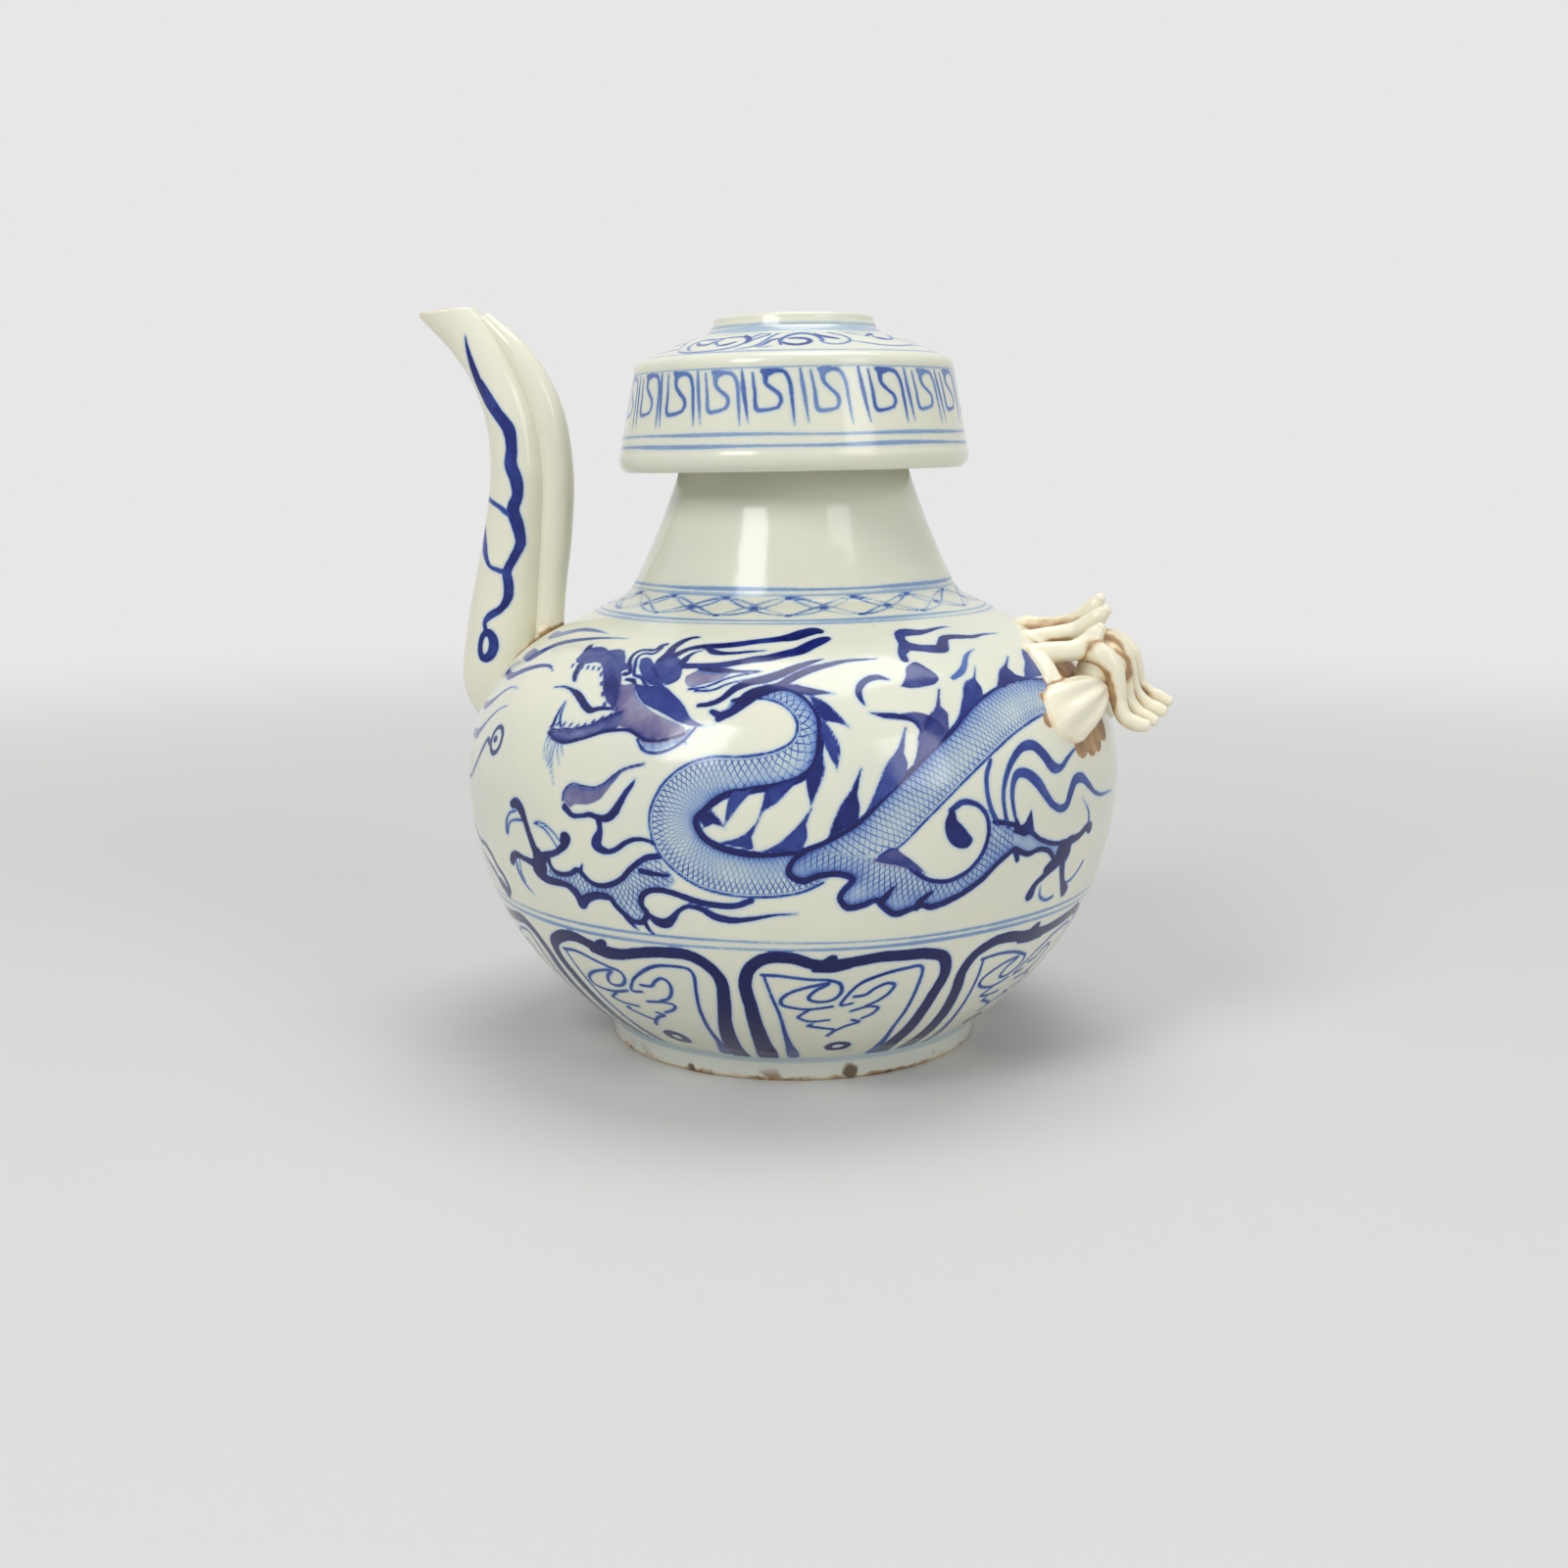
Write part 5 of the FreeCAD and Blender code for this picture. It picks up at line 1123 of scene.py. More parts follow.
# Swept and modelled pieces: strands, knot, fans, rib and the pinch of clay
def unridged(turns, at, whole):
    return np.ones(len(turns))


def swept(track, radii, columns, step, ridges=unridged, tip=0.3):
    """A closed round bar along a line; rows run along it and columns round it. The ends
    bulge by the tip's share of their radius."""
    track = np.column_stack([track, radii])
    knots = np.concatenate([[0], np.cumsum(np.linalg.norm(np.diff(track[:, :3], axis=0), axis=1))])
    count = max(8, int(knots[-1] / step))
    at = np.linspace(0, knots[-1], count)
    run = hermite(knots, track, at)
    middle, radius = run[:, :3], run[:, 3]
    heading = np.gradient(middle, axis=0)
    heading /= np.linalg.norm(heading, axis=1)[:, None]
    side = np.cross(heading[0], [0.0, 0.0, 1.0])
    if np.linalg.norm(side) < 0.2:
        side = np.cross(heading[0], [0.0, 1.0, 0.0])
    sides = []
    for ahead in heading:
        side = side - ahead * (side @ ahead)
        side = side / np.linalg.norm(side)
        sides.append(side)
    turns = np.arange(columns) * 2 * math.pi / columns

    def ring(k, pull=1.0, push=0.0):
        across = np.cos(turns)[:, None] * sides[k] + np.sin(turns)[:, None] * np.cross(
            heading[k], sides[k])
        reach = radius[k] * pull * ridges(turns, at[k], knots[-1])
        return middle[k] + heading[k] * push * radius[k] + across * reach[:, None]

    ends = [(math.cos(bend), math.sin(bend) * tip) for bend in np.arange(1, 8) * math.pi / 16]
    return np.stack([ring(0, pull, -push) for pull, push in ends[::-1]]
                    + [ring(k) for k in range(count)]
                    + [ring(count - 1, pull, push) for pull, push in ends])


def bar_piece(name, places):
    """A mesh of a bar's rows, closed by a fan of faces at each end."""
    rows, columns = places.shape[:2]
    first = np.arange(columns)
    after, top, tip = (first + 1) % columns, (rows - 1) * columns, rows * columns
    low = np.stack([np.full(columns, tip), after, first], -1)
    high = np.stack([np.full(columns, tip + 1), top + first, top + after], -1)
    points = np.vstack([places.reshape(-1, 3), places[0].mean(0), places[-1].mean(0)])
    return new_piece(name, points, grid_faces(rows, columns, False)[2], low, high)


# The tuft's places are shares of its reach, counted from a point on the shoulder. Each of a
# strand's stations is (outward, across, up, radius).
REACH, TUFT_TURN = 22.0, math.radians(7.0)
TUFT_OUT, TUFT_UP = on_shoulder(math.radians(35))


def tuft_point(outward, across, up):
    x, y = TUFT_OUT + REACH * outward, REACH * across
    return np.array([x * math.cos(TUFT_TURN) + y * math.sin(TUFT_TURN),
                     y * math.cos(TUFT_TURN) - x * math.sin(TUFT_TURN), TUFT_UP + REACH * up])


UPPER_STRANDS = [
    [(-0.98, 0.43, 0.60, 0.080), (-0.86, 0.41, 0.655, 0.120), (-0.66, 0.37, 0.66, 0.110),
     (-0.43, 0.32, 0.68, 0.112),
     (-0.235, 0.27, 0.739, 0.112), (-0.09, 0.225, 0.837, 0.112), (0.03, 0.185, 0.95, 0.098),
     (0.077, 0.18, 1.010, 0.072)],
    [(-0.88, -0.18, 0.50, 0.080), (-0.70, -0.14, 0.53, 0.115), (-0.53, -0.09, 0.575, 0.110),
     (-0.355, -0.045, 0.598, 0.115),
     (-0.18, 0.0, 0.640, 0.115), (0.0, 0.0, 0.739, 0.114), (0.135, 0.0, 0.845, 0.098),
     (0.185, 0.0, 0.890, 0.072)],
    [(-0.78, -0.62, 0.38, 0.080), (-0.62, -0.62, 0.40, 0.115), (-0.41, -0.57, 0.455, 0.112),
     (-0.25, -0.50, 0.45, 0.125),
     (-0.09, -0.41, 0.466, 0.122), (0.05, -0.32, 0.557, 0.112), (0.14, -0.27, 0.66, 0.100),
     (0.175, -0.255, 0.705, 0.074)],
]
# From where each springs on the knot, over it and down
LOWER_STRANDS = [
    [(-0.06, 0.20, 0.47, 0.060), (0.11, 0.26, 0.55, 0.105), (0.29, 0.30, 0.515, 0.120),
     (0.43, 0.32, 0.375, 0.115), (0.495, 0.345, 0.20, 0.100), (0.53, 0.36, 0.04, 0.094),
     (0.64, 0.365, -0.085, 0.092), (0.80, 0.365, -0.155, 0.086), (0.905, 0.365, -0.200, 0.064)],
    [(-0.09, -0.05, 0.49, 0.060), (0.06, -0.01, 0.56, 0.105), (0.23, 0.02, 0.535, 0.120),
     (0.375, 0.06, 0.415, 0.115), (0.45, 0.10, 0.24, 0.100), (0.48, 0.13, 0.07, 0.094),
     (0.55, 0.135, -0.09, 0.092), (0.68, 0.135, -0.205, 0.088), (0.83, 0.135, -0.265, 0.082),
     (0.880, 0.135, -0.280, 0.066)],
    [(0.13, -0.12, 0.50, 0.060), (0.27, -0.12, 0.43, 0.095), (0.38, -0.11, 0.27, 0.095),
     (0.45, -0.10, 0.08, 0.090), (0.49, -0.09, -0.12, 0.090), (0.61, -0.075, -0.275, 0.088),
     (0.76, -0.075, -0.35, 0.080), (0.815, -0.075, -0.370, 0.064)],
    [(-0.09, -0.26, 0.41, 0.070), (0.07, -0.33, 0.45, 0.115), (0.25, -0.36, 0.40, 0.125),
     (0.365, -0.345, 0.25, 0.112), (0.41, -0.33, 0.06, 0.100), (0.43, -0.32, -0.145, 0.095),
     (0.51, -0.32, -0.305, 0.095), (0.66, -0.32, -0.375, 0.092), (0.765, -0.32, -0.388, 0.068)],
]
# A low ridge of clay that runs down the body from the front strand's root to the fan
WEB = [(-0.62, -0.52, 0.45, 0.070), (-0.48, -0.63, 0.37, 0.140), (-0.32, -0.78, 0.24, 0.130),
       (-0.21, -0.88, 0.10, 0.105), (-0.14, -0.92, 0.00, 0.060)]


def strand_places(stations, tip=0.55):
    def ridges(turns, at, whole):
        return 1 - 0.035 * (1 + np.cos(3 * turns + at * 0.18)) * (1 - (at / whole) ** 4)

    return swept([tuft_point(*place) for *place, _ in stations],
                 [REACH * radius * 0.985 for *_, radius in stations], 40, 0.22, ridges, tip)


def egg_places(centre, halves, axes, bumps, narrow=0.0):
    """A rounded lump: axes are its long, wide and thin directions. It narrows lengthwise."""
    turns = np.arange(80) * 2 * math.pi / 80
    rows = []
    for polar in np.linspace(0.04, math.pi - 0.04, 60):
        unit = np.stack([np.cos(polar) + 0 * turns, np.sin(polar) * np.cos(turns),
                         np.sin(polar) * np.sin(turns)], -1)
        slim = 1 - narrow * unit[:, :1] * (0.0, 1.0, 0.4)
        rows.append(centre + (unit * (1 - bumps(unit)) * slim * halves) @ axes)
    return np.stack(rows)


def turned_axes(long_axis, thin_axis):
    """Long, wide and thin directions at right angles, turned with the tuft."""
    long_axis = np.array(long_axis) / np.linalg.norm(long_axis)
    wide = np.cross(thin_axis, long_axis)
    wide /= np.linalg.norm(wide)
    c, s = math.cos(TUFT_TURN), math.sin(TUFT_TURN)
    return np.stack([long_axis, wide, np.cross(long_axis, wide)]) @ np.array(
        [[c, -s, 0], [s, c, 0], [0, 0, 1]])


def knot_bumps(unit):
    return 0.03 * (1 + np.sin(5 * unit[:, 1:2] + 3 * unit[:, 2:]))


def fan_grooves(unit):
    """Grooves that spread along the fan, and are deepest in its thin direction."""
    along, across = unit[:, :1], unit[:, 1:2]
    wave = np.cos(8.5 * across / np.sqrt(np.clip(1.05 - along, 0.3, 2)) + 0.8)
    return (0.5 - 0.5 * wave) * (1 - along ** 4) * (0.03, 0.06, 0.24)


def lump_bumps(unit):
    return 0.03 * (1 + np.sin(4 * unit[:, :1] + unit[:, 2:]))


modelled = {}
for number, stations in enumerate(UPPER_STRANDS, 1):
    modelled[f"tuft_upper_strand_{number}"] = strand_places(stations, 0.95)
for number, stations in enumerate(LOWER_STRANDS, 1):
    modelled[f"tuft_lower_strand_{number}"] = strand_places(stations)
modelled["tuft_knot"] = egg_places(tuft_point(0.17, -0.06, 0.21),
                                   REACH * np.array([0.30, 0.33, 0.29]), np.eye(3), knot_bumps)
for label, side in (("tuft_fan_front", 1), ("tuft_fan_back", -1)):
    modelled[label] = egg_places(
        tuft_point(0.02, -0.84 * side, -0.125), REACH * np.array([0.585, 0.345, 0.22]),
        turned_axes((0.365, 0.858 * side, 0.30), (0.84, -0.19 * side, 0.506)), fan_grooves, 0.12)

# The rib runs up the spout's back; its depth is a share of its full depth at each station
RIB_DEPTH, RIB_SUNK = 6.8, 2.5
rib_track, rib_radii = [], []
for (out, up, lean, radius), share in zip(SPOUT[2:], [0.91, 0.90, 1.0, 1.0, 1.0, 0.74, 0.30]):
    half = (RIB_DEPTH * share + RIB_SUNK) / 2
    back = radius + RIB_DEPTH * share - half
    rib_track.append((-(out - back * math.cos(math.radians(lean))), 0.0,
                      up + back * math.sin(math.radians(lean))))
    rib_radii.append(half * 0.995)
modelled["spout_rib"] = swept(rib_track, rib_radii, 72, 0.5)
lump_out, lump_up = on_shoulder(math.radians(57), 42.8)
modelled["clay_lump"] = egg_places((-lump_out, -4.85, lump_up), 1.98, np.eye(3), lump_bumps)


# Materials
def feed(tree, socket, value):
    """Ties a value, a wire or a node's output to an input."""
    value = getattr(value, "socket", value)
    if isinstance(value, bpy.types.NodeSocket):
        tree.links.new(value, socket)
    else:
        socket.default_value = value


def add_node(tree, kind, inputs, **settings):
    """A new node; inputs are values in order, or a table of them."""
    node = tree.nodes.new("ShaderNode" + kind)
    for key, value in settings.items():
        setattr(node, key, value)
    for key, value in inputs.items() if isinstance(inputs, dict) else enumerate(inputs):
        feed(tree, node.inputs[key], value)
    return node


class Wire:
    """A number between nodes. Sums of wires and numbers are maths nodes."""

    def __init__(self, tree, socket):
        self.tree, self.socket = tree, socket

    def maths(self, kind, *values, clamp=False):
        node = add_node(self.tree, "Math", values, operation=kind, use_clamp=clamp)
        return Wire(self.tree, node.outputs[0])

    def __add__(self, other):
        return self.maths("ADD", self, other)

    def __radd__(self, other):
        return self.maths("ADD", other, self)

    def __sub__(self, other):
        return self.maths("SUBTRACT", self, other)

    def __mul__(self, other):
        return self.maths("MULTIPLY", self, other)

    def __abs__(self):
        return self.maths("ABSOLUTE", self)

    def most(self, other):
        return self.maths("MAXIMUM", self, other)

    def swing(self, width):
        """From half the width below zero to half above."""
        return (self - 0.5) * width

    def rise(self, low, high):
        """From 0 at low to 1 at high, smoothly."""
        node = add_node(self.tree, "MapRange", (self, low, high), interpolation_type="SMOOTHSTEP")
        return Wire(self.tree, node.outputs[0])

    def fall(self, low, high):
        return self.maths("SUBTRACT", 1.0, self.rise(low, high))


class Looks:
    """A material, and short ways to add nodes to it."""

    def __init__(self, name):
        self.material = bpy.data.materials.new(name)
        self.material.use_nodes = True
        self.tree = self.material.node_tree
        self.shader = self.tree.nodes["Principled BSDF"]
        self.place = self.node("NewGeometry", ()).outputs["Position"]

    def node(self, kind, inputs, **settings):
        return add_node(self.tree, kind, inputs, **settings)

    def wire(self, socket):
        return Wire(self.tree, socket)

    def read(self, name):
        return self.wire(self.node("Attribute", (), attribute_name=name).outputs["Fac"])

    def noise(self, scale, detail, rough):
        node = self.node("TexNoise", {"Vector": self.place, "Scale": scale, "Detail": detail,
                                      "Roughness": rough})
        return self.wire(node.outputs["Fac"])

    def ramp(self, amount, stops, mode="LINEAR"):
        node = self.node("ValToRGB", (amount,))
        node.color_ramp.interpolation = mode
        elements = node.color_ramp.elements
        while len(elements) < len(stops):
            elements.new(0.5)
        for element, (at, colour) in zip(elements, stops):
            element.position, element.color = at, (*colour, 1.0)
        return node.outputs[0]

    def blend(self, amount, a, b, kind="MIX"):
        node = self.node("Mix", {0: amount, 6: a, 7: b}, data_type="RGBA", blend_type=kind)
        return node.outputs[2]

    def finish(self, bump, strength, depth, **inputs):
        """Feeds the shader, with a bump of a strength and a depth in metres."""
        bumped = self.node("Bump", {"Strength": strength, "Distance": depth, "Height": bump})
        for key, value in inputs.items():
            feed(self.tree, self.shader.inputs[key.replace("_", " ")], value)
        feed(self.tree, self.shader.inputs["Normal"], bumped.outputs[0])
        return self.material


GLAZE = (0.810, 0.802, 0.655)
GLAZE_DEEP = (0.735, 0.755, 0.640)
PALE_CREAM = (0.865, 0.845, 0.690)
CREAM = (0.905, 0.870, 0.690)
CREAM_DEEP = (0.870, 0.825, 0.635)
BLUES = [(0.0, (1.0, 1.0, 1.0)), (0.14, (0.72, 0.82, 0.97)), (0.32, (0.36, 0.52, 0.92)),
         (0.52, (0.120, 0.225, 0.72)), (0.70, (0.030, 0.076, 0.46)), (0.86, (0.005, 0.018, 0.27)),
         (1.0, (0.001, 0.004, 0.13))]
VIOLETS = [(0.25, (0.38, 0.29, 0.36)), (0.50, (0.19, 0.14, 0.24)), (0.75, (0.045, 0.045, 0.17))]
# Browns for the stains, also used for painted shade in the tuft's crevices
STAINS_AND_SHADE = [(0.25, (0.76, 0.55, 0.27)), (0.60, (0.56, 0.33, 0.13)), (1.0, (0.27, 0.14, 0.055))]
BARE_CLAY = [(0.35, (0.36, 0.22, 0.11)), (0.55, (0.66, 0.58, 0.42))]
GLOSS = 0.13


def painted_glaze(name, base_colours, dirt_and_shade=False):
    looks = Looks(name)
    read, noise, blend = looks.read, looks.noise, looks.blend
    grain, fine = noise(2600.0, 2.0, 0.6), noise(950.0, 3.0, 0.6)
    pool, water = noise(240.0, 3.0, 0.55), noise(95.0, 3.0, 0.55)
    jitter, bleed = fine.swing(0.32), pool.swing(0.36)

    # A stroke has a soft edge, is deepest just inside it, and pools unevenly
    ink, tone = read("ink"), read("ink_tone")
    edge = ink + jitter + bleed
    rim = abs(edge + 0.30).fall(0.0, 0.34)
    pooled = 0.50 + pool * 0.44 + water * 0.54
    line_depth = edge.fall(-0.34, 0.24) * (tone * (pooled + rim * 0.05))

    # A halo where the cobalt has run a little into the glaze
    halo = ink.fall(-0.2, 1.15) * (tone * 0.16)

    # Washes
    wash_edge = read("wash") + (jitter + bleed)
    wash_rim = abs(wash_edge + 0.35).fall(0.0, 0.5)
    uneven = 0.08 + noise(150.0, 4.0, 0.6) * 1.10 + water * 0.74
    wash_depth = wash_edge.fall(-0.60, 0.30) * (read("wash_tone") * (uneven + wash_rim * 0.12))

    # Scales: two sets of slanting lines that follow the body, darker at its edges
    scale, along, out = read("scale"), read("scale_along"), read("scale_out")
    bands = []
    for slant, strength in ((0.30, 1.0), (-0.45, 0.86)):
        phase = along * 0.68 + out * slant + pool.swing(0.7)
        wave = abs(phase.maths("FRACT", phase + 64.0) - 0.5)
        bands.append(wave.fall(0.04, 0.21) * strength)
    shade = (scale.rise(-3.6, -0.4) * 0.7).most(abs(out).fall(0.5, 6.0))
    hatch_depth = bands[0].most(bands[1]) * scale.fall(-0.9, -0.3) * (
        0.24 + water * 0.38 + shade * 0.24)

    density = line_depth.most(wash_depth).most(hatch_depth) + halo + wash_depth * line_depth * 0.3
    speck = grain.rise(0.60, 0.80) * (density * 0.30)
    density = density.maths("ADD", density, speck, clamp=True)

    base = looks.ramp(noise(34.0, 2.0, 0.5), [(0.30, base_colours[1]), (0.72, base_colours[0])])
    colour = blend(1.0, base, looks.ramp(density, BLUES), "MULTIPLY")
    violet = read("warm") * density.rise(0.12, 0.45) * density.fall(0.62, 0.95)
    colour = blend(violet * 0.75, colour, looks.ramp(density, VIOLETS))

    # Tiny iron specks in the clay
    dots = looks.node("TexVoronoi", {"Vector": looks.place, "Scale": 95.0})
    rare = noise(60.0, 2.0, 0.5).rise(0.60, 0.70)
    speck = looks.wire(dots.outputs["Distance"]).fall(0.018, 0.05) * rare
    colour = blend(speck * 0.55, colour, (0.22, 0.13, 0.06, 1.0))

    rough = GLOSS
    # Brown stains and painted shade, read from an attribute: bare clay at joints and rims, and
    # painted shade in the tuft's crevices and on its shaded sides
    if dirt_and_shade:
        brown = (read("dirt_and_shade") + water.swing(0.9) + pool.swing(0.5)).rise(0.34, 0.80)
        colour = blend(brown * 0.92, colour, looks.ramp(brown * (0.35 + pool), STAINS_AND_SHADE))
        rough = GLOSS + brown * 0.45
    orange_peel = noise(210.0, 2.0, 0.4) * 0.8 + noise(55.0, 2.0, 0.4) * 1.6
    return looks.finish(orange_peel, 0.22, 0.0005, Base_Color=colour, Roughness=rough, IOR=1.42,
                        Coat_Weight=0.08, Coat_Roughness=0.05)


# Places on the foot where the glaze has chipped to dark clay, and how far each reaches
CHIPS = [((-0.0160, -0.0474, 0.0010), 0.0015), ((0.0250, -0.0433, 0.0019), 0.0027),
         ((0.0340, -0.0366, 0.0004), 0.0012)]


def biscuit():
    """The foot: glazed pale blue above, a worn edge of bare clay below."""
    looks = Looks("foot_clay_and_glaze")
    noise, blend = looks.noise, looks.blend
    split = looks.node("SeparateXYZ", (looks.place,))
    height = looks.wire(split.outputs[2])
    ragged = noise(260.0, 4.0, 0.6).swing(0.0026)
    bare = (height + ragged).fall(0.0009, 0.0016)
    seam = abs(height - 0.0058).fall(0.0003, 0.0011)
    glaze = blend(seam * 0.75, (0.70, 0.73, 0.64, 1.0), (0.40, 0.51, 0.58, 1.0))
    spots = noise(75.0, 3.0, 0.6).rise(0.60, 0.68) * height.fall(0.0012, 0.0045)
    colour = blend(bare, glaze, looks.ramp(noise(120.0, 4.0, 0.65), BARE_CLAY, "EASE"))
    colour = blend(spots * 0.85, colour, (0.30, 0.17, 0.08, 1.0))
    for chip, reach in CHIPS:
        away = looks.node("VectorMath", (looks.place, chip), operation="DISTANCE")
        chipped = (looks.wire(away.outputs["Value"]) + ragged).fall(0.5 * reach, reach)
        colour = blend(chipped * 0.9, colour, (0.10, 0.06, 0.03, 1.0))
    return looks.finish(noise(330.0, 4.0, 0.6), 0.35, 0.0006, Base_Color=colour,
                        Roughness=0.16 + bare.most(spots) * 0.55)


glaze = painted_glaze("painted_glaze", (GLAZE, GLAZE_DEEP))
glaze_spout = painted_glaze("spout_glaze", (PALE_CREAM, GLAZE), dirt_and_shade=True)
glaze_dirt_and_shade = painted_glaze("modelled_glaze", (CREAM, CREAM_DEEP), dirt_and_shade=True)
foot_material = biscuit()
glaze_shoulder = painted_glaze("shoulder_glaze", (GLAZE, GLAZE_DEEP), dirt_and_shade=True)


# Stains and painted shade, and the pieces in their places
def show(piece, node, material):
    piece.data.materials.append(material)
    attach(piece, "root")
    if node:
        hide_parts(node)


def normals_of(places):
    """Outward normals of a closed bar's rows and columns."""
    lengthwise = np.gradient(places, axis=0)
    around = np.roll(places, -1, axis=1) - np.roll(places, 1, axis=1)
    face = np.cross(around, lengthwise)
    face /= np.maximum(np.linalg.norm(face, axis=-1), 1e-9)[..., None]
    outward = places - places.mean(1, keepdims=True)
    return face * np.sign((face * outward).sum(-1).mean())


def nearness(places, clouds):
    """How far each place is from the nearest of every third place in the clouds."""
    points = np.vstack([cloud.reshape(-1, 3)[::3] for cloud in clouds])
    tree = KDTree(len(points))
    for index, spot in enumerate(points):
        tree.insert(spot, index)
    tree.balance()
    return np.array([tree.find(spot)[2] for spot in places.reshape(-1, 3)])


def fade(distance, reach, power):
    return np.exp(-(distance / reach) ** power)


# Raw brown clay on the shoulder round the tuft: (place, reach, strength)
RAW_CLAY = [((80.6, -31.2, 86.0), 3.4, 2.2), ((82.1, -25.2, 87.8), 4.6, 2.2),
            ((84.1, -15.4, 89.0), 4.4, 2.0), ((82.6, -25.6, 86.0), 3.6, 2.2),
            ((83.6, -21.6, 86.4), 3.6, 2.2), ((71.4, -36.5, 98.1), 2.0, 0.8),
            ((71.7, -29.8, 101.4), 2.0, 0.8), ((73.1, -40.0, 93.1), 2.4, 0.8),
            ((75.0, -11.5, 103.3), 6.5, 1.2), ((75.0, -19.0, 102.0), 4.0, 1.2)]


def shoulder_clay_and_shade(places):
    x, y, z = np.moveaxis(places, -1, 0)
    close = (x > 55) & (np.abs(y) < 48) & (z > 78) & (z < 128)
    spots = places[close]
    tuft = [cloud for label, cloud in modelled.items() if label.startswith("tuft")]
    # Brown on the body close to the tuft: bare clay at the joint and painted shade in the crevice
    # round it; then the raw clay patches
    stain_and_shade = 0.56 * fade(nearness(spots, tuft), 1.1, 1.5)
    for place, reach, strength in RAW_CLAY:
        far = np.linalg.norm(spots - place, axis=-1)
        stain_and_shade = np.maximum(stain_and_shade, strength * fade(far, reach, 8))
    out = np.zeros(places.shape[:2])
    out[close] = stain_and_shade
    return out


# A pale wash on the outside of the mouth ring, up to its rounded top
ring_r, ring_z = ring_shell.outline.T[:, :, None]
ring_shell.sheet.paint["wash"][:] = np.where(ring_r > 20.5, ring_z - ROOF_TOP - 0.9, FAR)
ring_shell.sheet.paint["wash_tone"][:] = 0.22
for shell in (foot_shell, lower_shell, upper_shell, neck_shell, throat_shell, roof_shell,
              skirt_shell, ring_shell):
    piece = shell.piece(shell not in (foot_shell, throat_shell))
    if shell is upper_shell:
        attribute(piece, "dirt_and_shade", shoulder_clay_and_shade(shell.sheet.places))
    if shell is foot_shell:
        show(piece, shell.node, foot_material)
    else:
        show(piece, shell.node,
             glaze_shoulder if shell is upper_shell else glaze)

# The spout and its rib follow the lean at their root only
LEAN_FADE = (105.0, 135.0)
places = lean_only(tube_sheet.places, *LEAN_FADE)
lip_stain, root_stain = np.zeros(places.shape[:2]), np.zeros(places.shape[:2])
lip_stain[OUTER_ROWS + 3:OUTER_ROWS + 10] = 0.62
from_root = np.linalg.norm(places[:OUTER_ROWS] - places[:1], axis=-1)
inward = np.cos(np.radians(tube_turns - 290.0)) * 0.5 + 0.5
root_stain[:OUTER_ROWS] = fade(from_root, 2.6, 2) * (0.15 + 0.95 * inward ** 3)
piece = new_piece("painted_spout_tube", places.reshape(-1, 3),
                  grid_faces(*places.shape[:2], True)[2][:, ::-1])
for key in ("ink", "ink_tone"):
    attribute(piece, key, tube_sheet.paint[key])
attribute(piece, "dirt_and_shade", np.maximum(lip_stain, root_stain))
plain_paint(piece)
show(piece, "spout_tube", glaze_spout)

# Modelled pieces: the clay swells where one is pressed to another or to the body, and
# brown is painted in the hollows between them: bare clay at the joints, and painted shade in the
# crevices.
SWELL, SWELL_REACH = 0.75, 1.1
ROOT = "tuft_upper_strand_3_root"
clouds = {**modelled, ROOT: strand_places(WEB)}
for label, places in clouds.items():
    gap = core_gap(places)
    share = np.linspace(0, 1, len(places))[:, None]
    if label == "spout_rib":
        stain_and_shade = 0.8 * fade(gap, 1.6, 2)
    elif label == "clay_lump":
        stain_and_shade = 0.35 + 0.5 * fade(gap, 1.4, 2)
    else:
        others = [cloud for name, cloud in clouds.items()
                  if name.startswith("tuft") and name[:19] != label[:19]]
        near = nearness(places, others).reshape(gap.shape)
        gap = np.maximum(gap, 0)
        swell = SWELL * np.maximum(fade(near, SWELL_REACH, 2), fade(gap, SWELL_REACH, 2))
        places = places + normals_of(places) * swell[..., None]
        pressed = (0.56 if label == "tuft_knot" else 0.82, 2.2 if "lower" in label else 1.3)
        seated = 0.30 if "upper" in label else 0.50
        # Brown where a piece meets another or the body: bare clay at the joint and painted shade in
        # the crevice
        stain_and_shade = 0.10 + np.maximum(pressed[0] * fade(near, pressed[1], 1.5),
                                  seated * fade(gap, 1.3, 1.5))
    # Brown stain and painted shade on the sides that face down, to the front or towards the body,
    # along part of each strand
    left, front, down = np.moveaxis(-normals_of(places), -1, 0)
    if label == "tuft_upper_strand_1":
        stain_and_shade = stain_and_shade + 0.64 * np.clip(front, 0, 1) * fade(share - 0.46, 0.32, 4)
    if label == "tuft_upper_strand_2":
        stain_and_shade = stain_and_shade + 0.95 * np.clip(down + 0.35 * front, 0, 1) * fade(share - 0.32, 0.26, 4)
    if "lower" in label:
        middle = 0.62 if label.endswith("4") else 0.38
        stain_and_shade = stain_and_shade + 0.50 * np.clip(left, 0, 1) * fade(share - middle, middle - 0.08, 4)
        if label[-1] in "12":
            stain_and_shade = stain_and_shade + 0.36 * fade(share - 0.16, 0.13, 2)
    is_rib = label == "spout_rib"
    places = lean_only(places, *LEAN_FADE) if is_rib else lean_only(places)
    piece = bar_piece("modelled_" + label, places)
    attribute(piece, "dirt_and_shade", np.concatenate([stain_and_shade.ravel(), [stain_and_shade[0].mean(), stain_and_shade[-1].mean()]]))
    plain_paint(piece)
    show(piece, None if label == ROOT else label,
         glaze_spout if is_rib else glaze_dirt_and_shade)


# Floor, light and camera
def seen_directly(tree):
    """One where the camera sees a place, also by a reflection or through glass."""
    rays = tree.nodes.new("ShaderNodeLightPath").outputs
    camera, glossy, through = [Wire(tree, rays[f"Is {kind} Ray"])
                               for kind in ("Camera", "Glossy", "Transmission")]
    return camera.most(glossy.most(through))


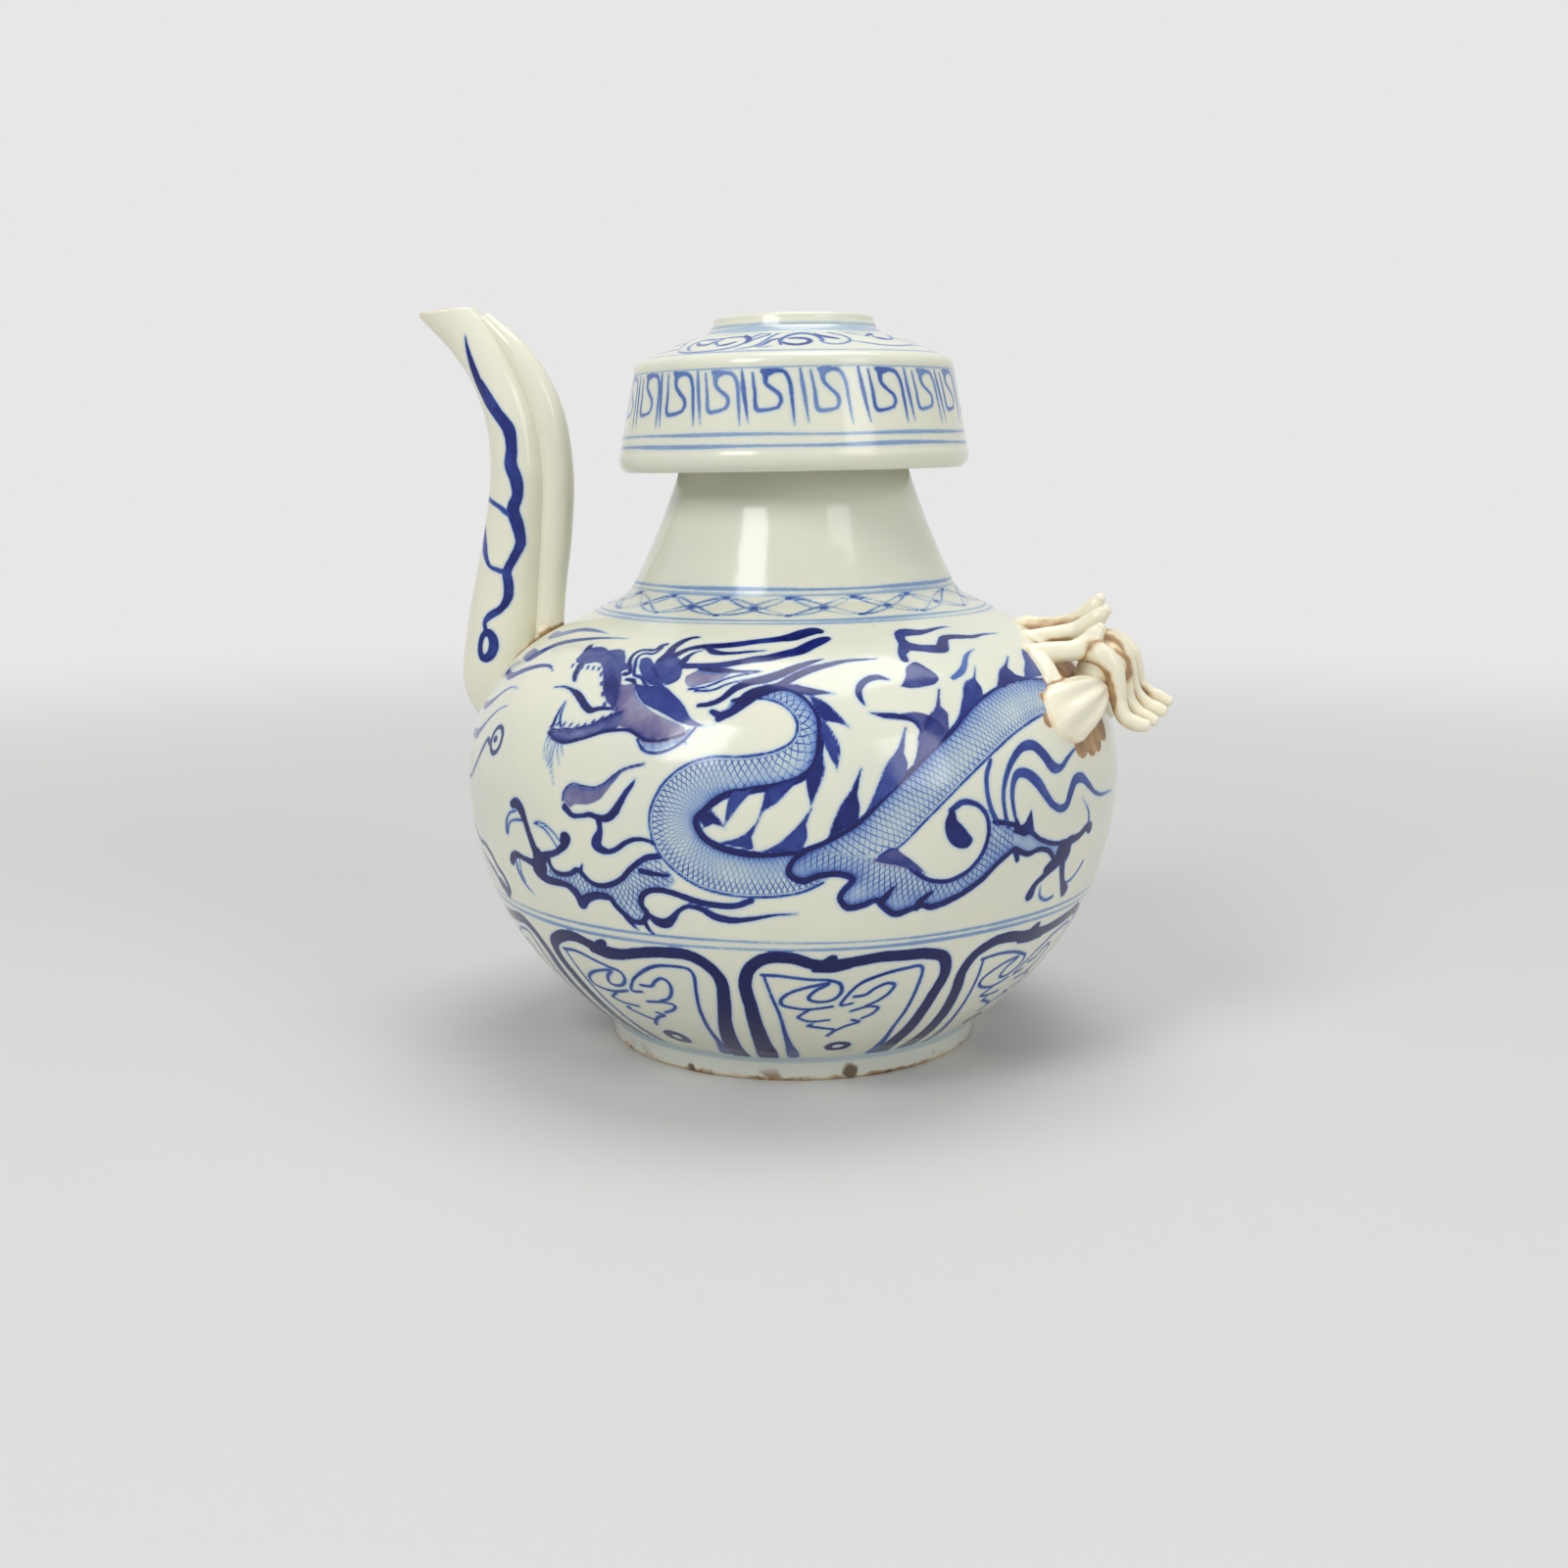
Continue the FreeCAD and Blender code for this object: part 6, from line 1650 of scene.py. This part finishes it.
STUDIO = (0.80, 0.80, 0.80, 1)
mesh = bpy.data.meshes.new("floor")
mesh.from_pydata([(-6, -6, 0), (6, -6, 0), (6, 6, 0), (-6, 6, 0)], [], [(0, 1, 2, 3)])
floor = bpy.data.objects.new("floor", mesh)
bpy.context.collection.objects.link(floor)
paper = Looks("floor_paper")
paper.shader.inputs["Base Color"].default_value = (0.68, 0.68, 0.67, 1)
paper.shader.inputs["Roughness"].default_value = 0.7
outward = paper.node("VectorMath", (paper.place,), operation="LENGTH")
haze = paper.node("Emission", {"Color": STUDIO})
mixer = paper.node("MixShader", (
    paper.wire(outward.outputs["Value"]).rise(0.22, 1.1) * seen_directly(paper.tree),
    paper.shader.outputs[0], haze.outputs[0]))
feed(paper.tree, paper.tree.nodes["Material Output"].inputs["Surface"], mixer.outputs[0])
mesh.materials.append(paper.material)

world = bpy.data.worlds.new("room")
bpy.context.scene.world = world
world.use_nodes = True
tree = world.node_tree
lit = tree.nodes["Background"]
lit.inputs["Color"].default_value, lit.inputs["Strength"].default_value = STUDIO, 0.42
seen = add_node(tree, "Background", {"Color": STUDIO})
mixer = add_node(tree, "MixShader", (seen_directly(tree), lit.outputs[0], seen.outputs[0]))
feed(tree, tree.nodes["World Output"].inputs["Surface"], mixer.outputs[0])


def softbox(name, place, target, size, power):
    lamp = bpy.data.lights.new(name, "AREA")
    lamp.shape = "RECTANGLE"
    lamp.size, lamp.size_y = size
    lamp.energy = power
    thing = bpy.data.objects.new(name, lamp)
    thing.location = place
    thing.rotation_euler = (Vector(target) - Vector(place)).to_track_quat("-Z", "Y").to_euler()
    bpy.context.collection.objects.link(thing)


softbox("key", (-0.55, -1.15, 1.15), (0, 0, 0.1), (0.55, 0.75), 10.3)
softbox("fill", (1.15, -0.75, 0.75), (0, 0, 0.1), (0.5, 0.9), 5.0)
softbox("above", (0.1, 0.25, 1.5), (0, 0, 0.1), (0.9, 0.9), 9.2)

lens = bpy.data.cameras.new("view")
lens.lens = 42.05
lens.sensor_width = 36.0
viewer = bpy.data.objects.new("view", lens)
viewer.location = (0.1116, -0.4832, 0.1573)
viewer.rotation_euler = (math.radians(90 - 10.2), 0.0, math.radians(13.3))
bpy.context.collection.objects.link(viewer)
bpy.context.scene.camera = viewer
bpy.context.scene.view_settings.view_transform = "Standard"
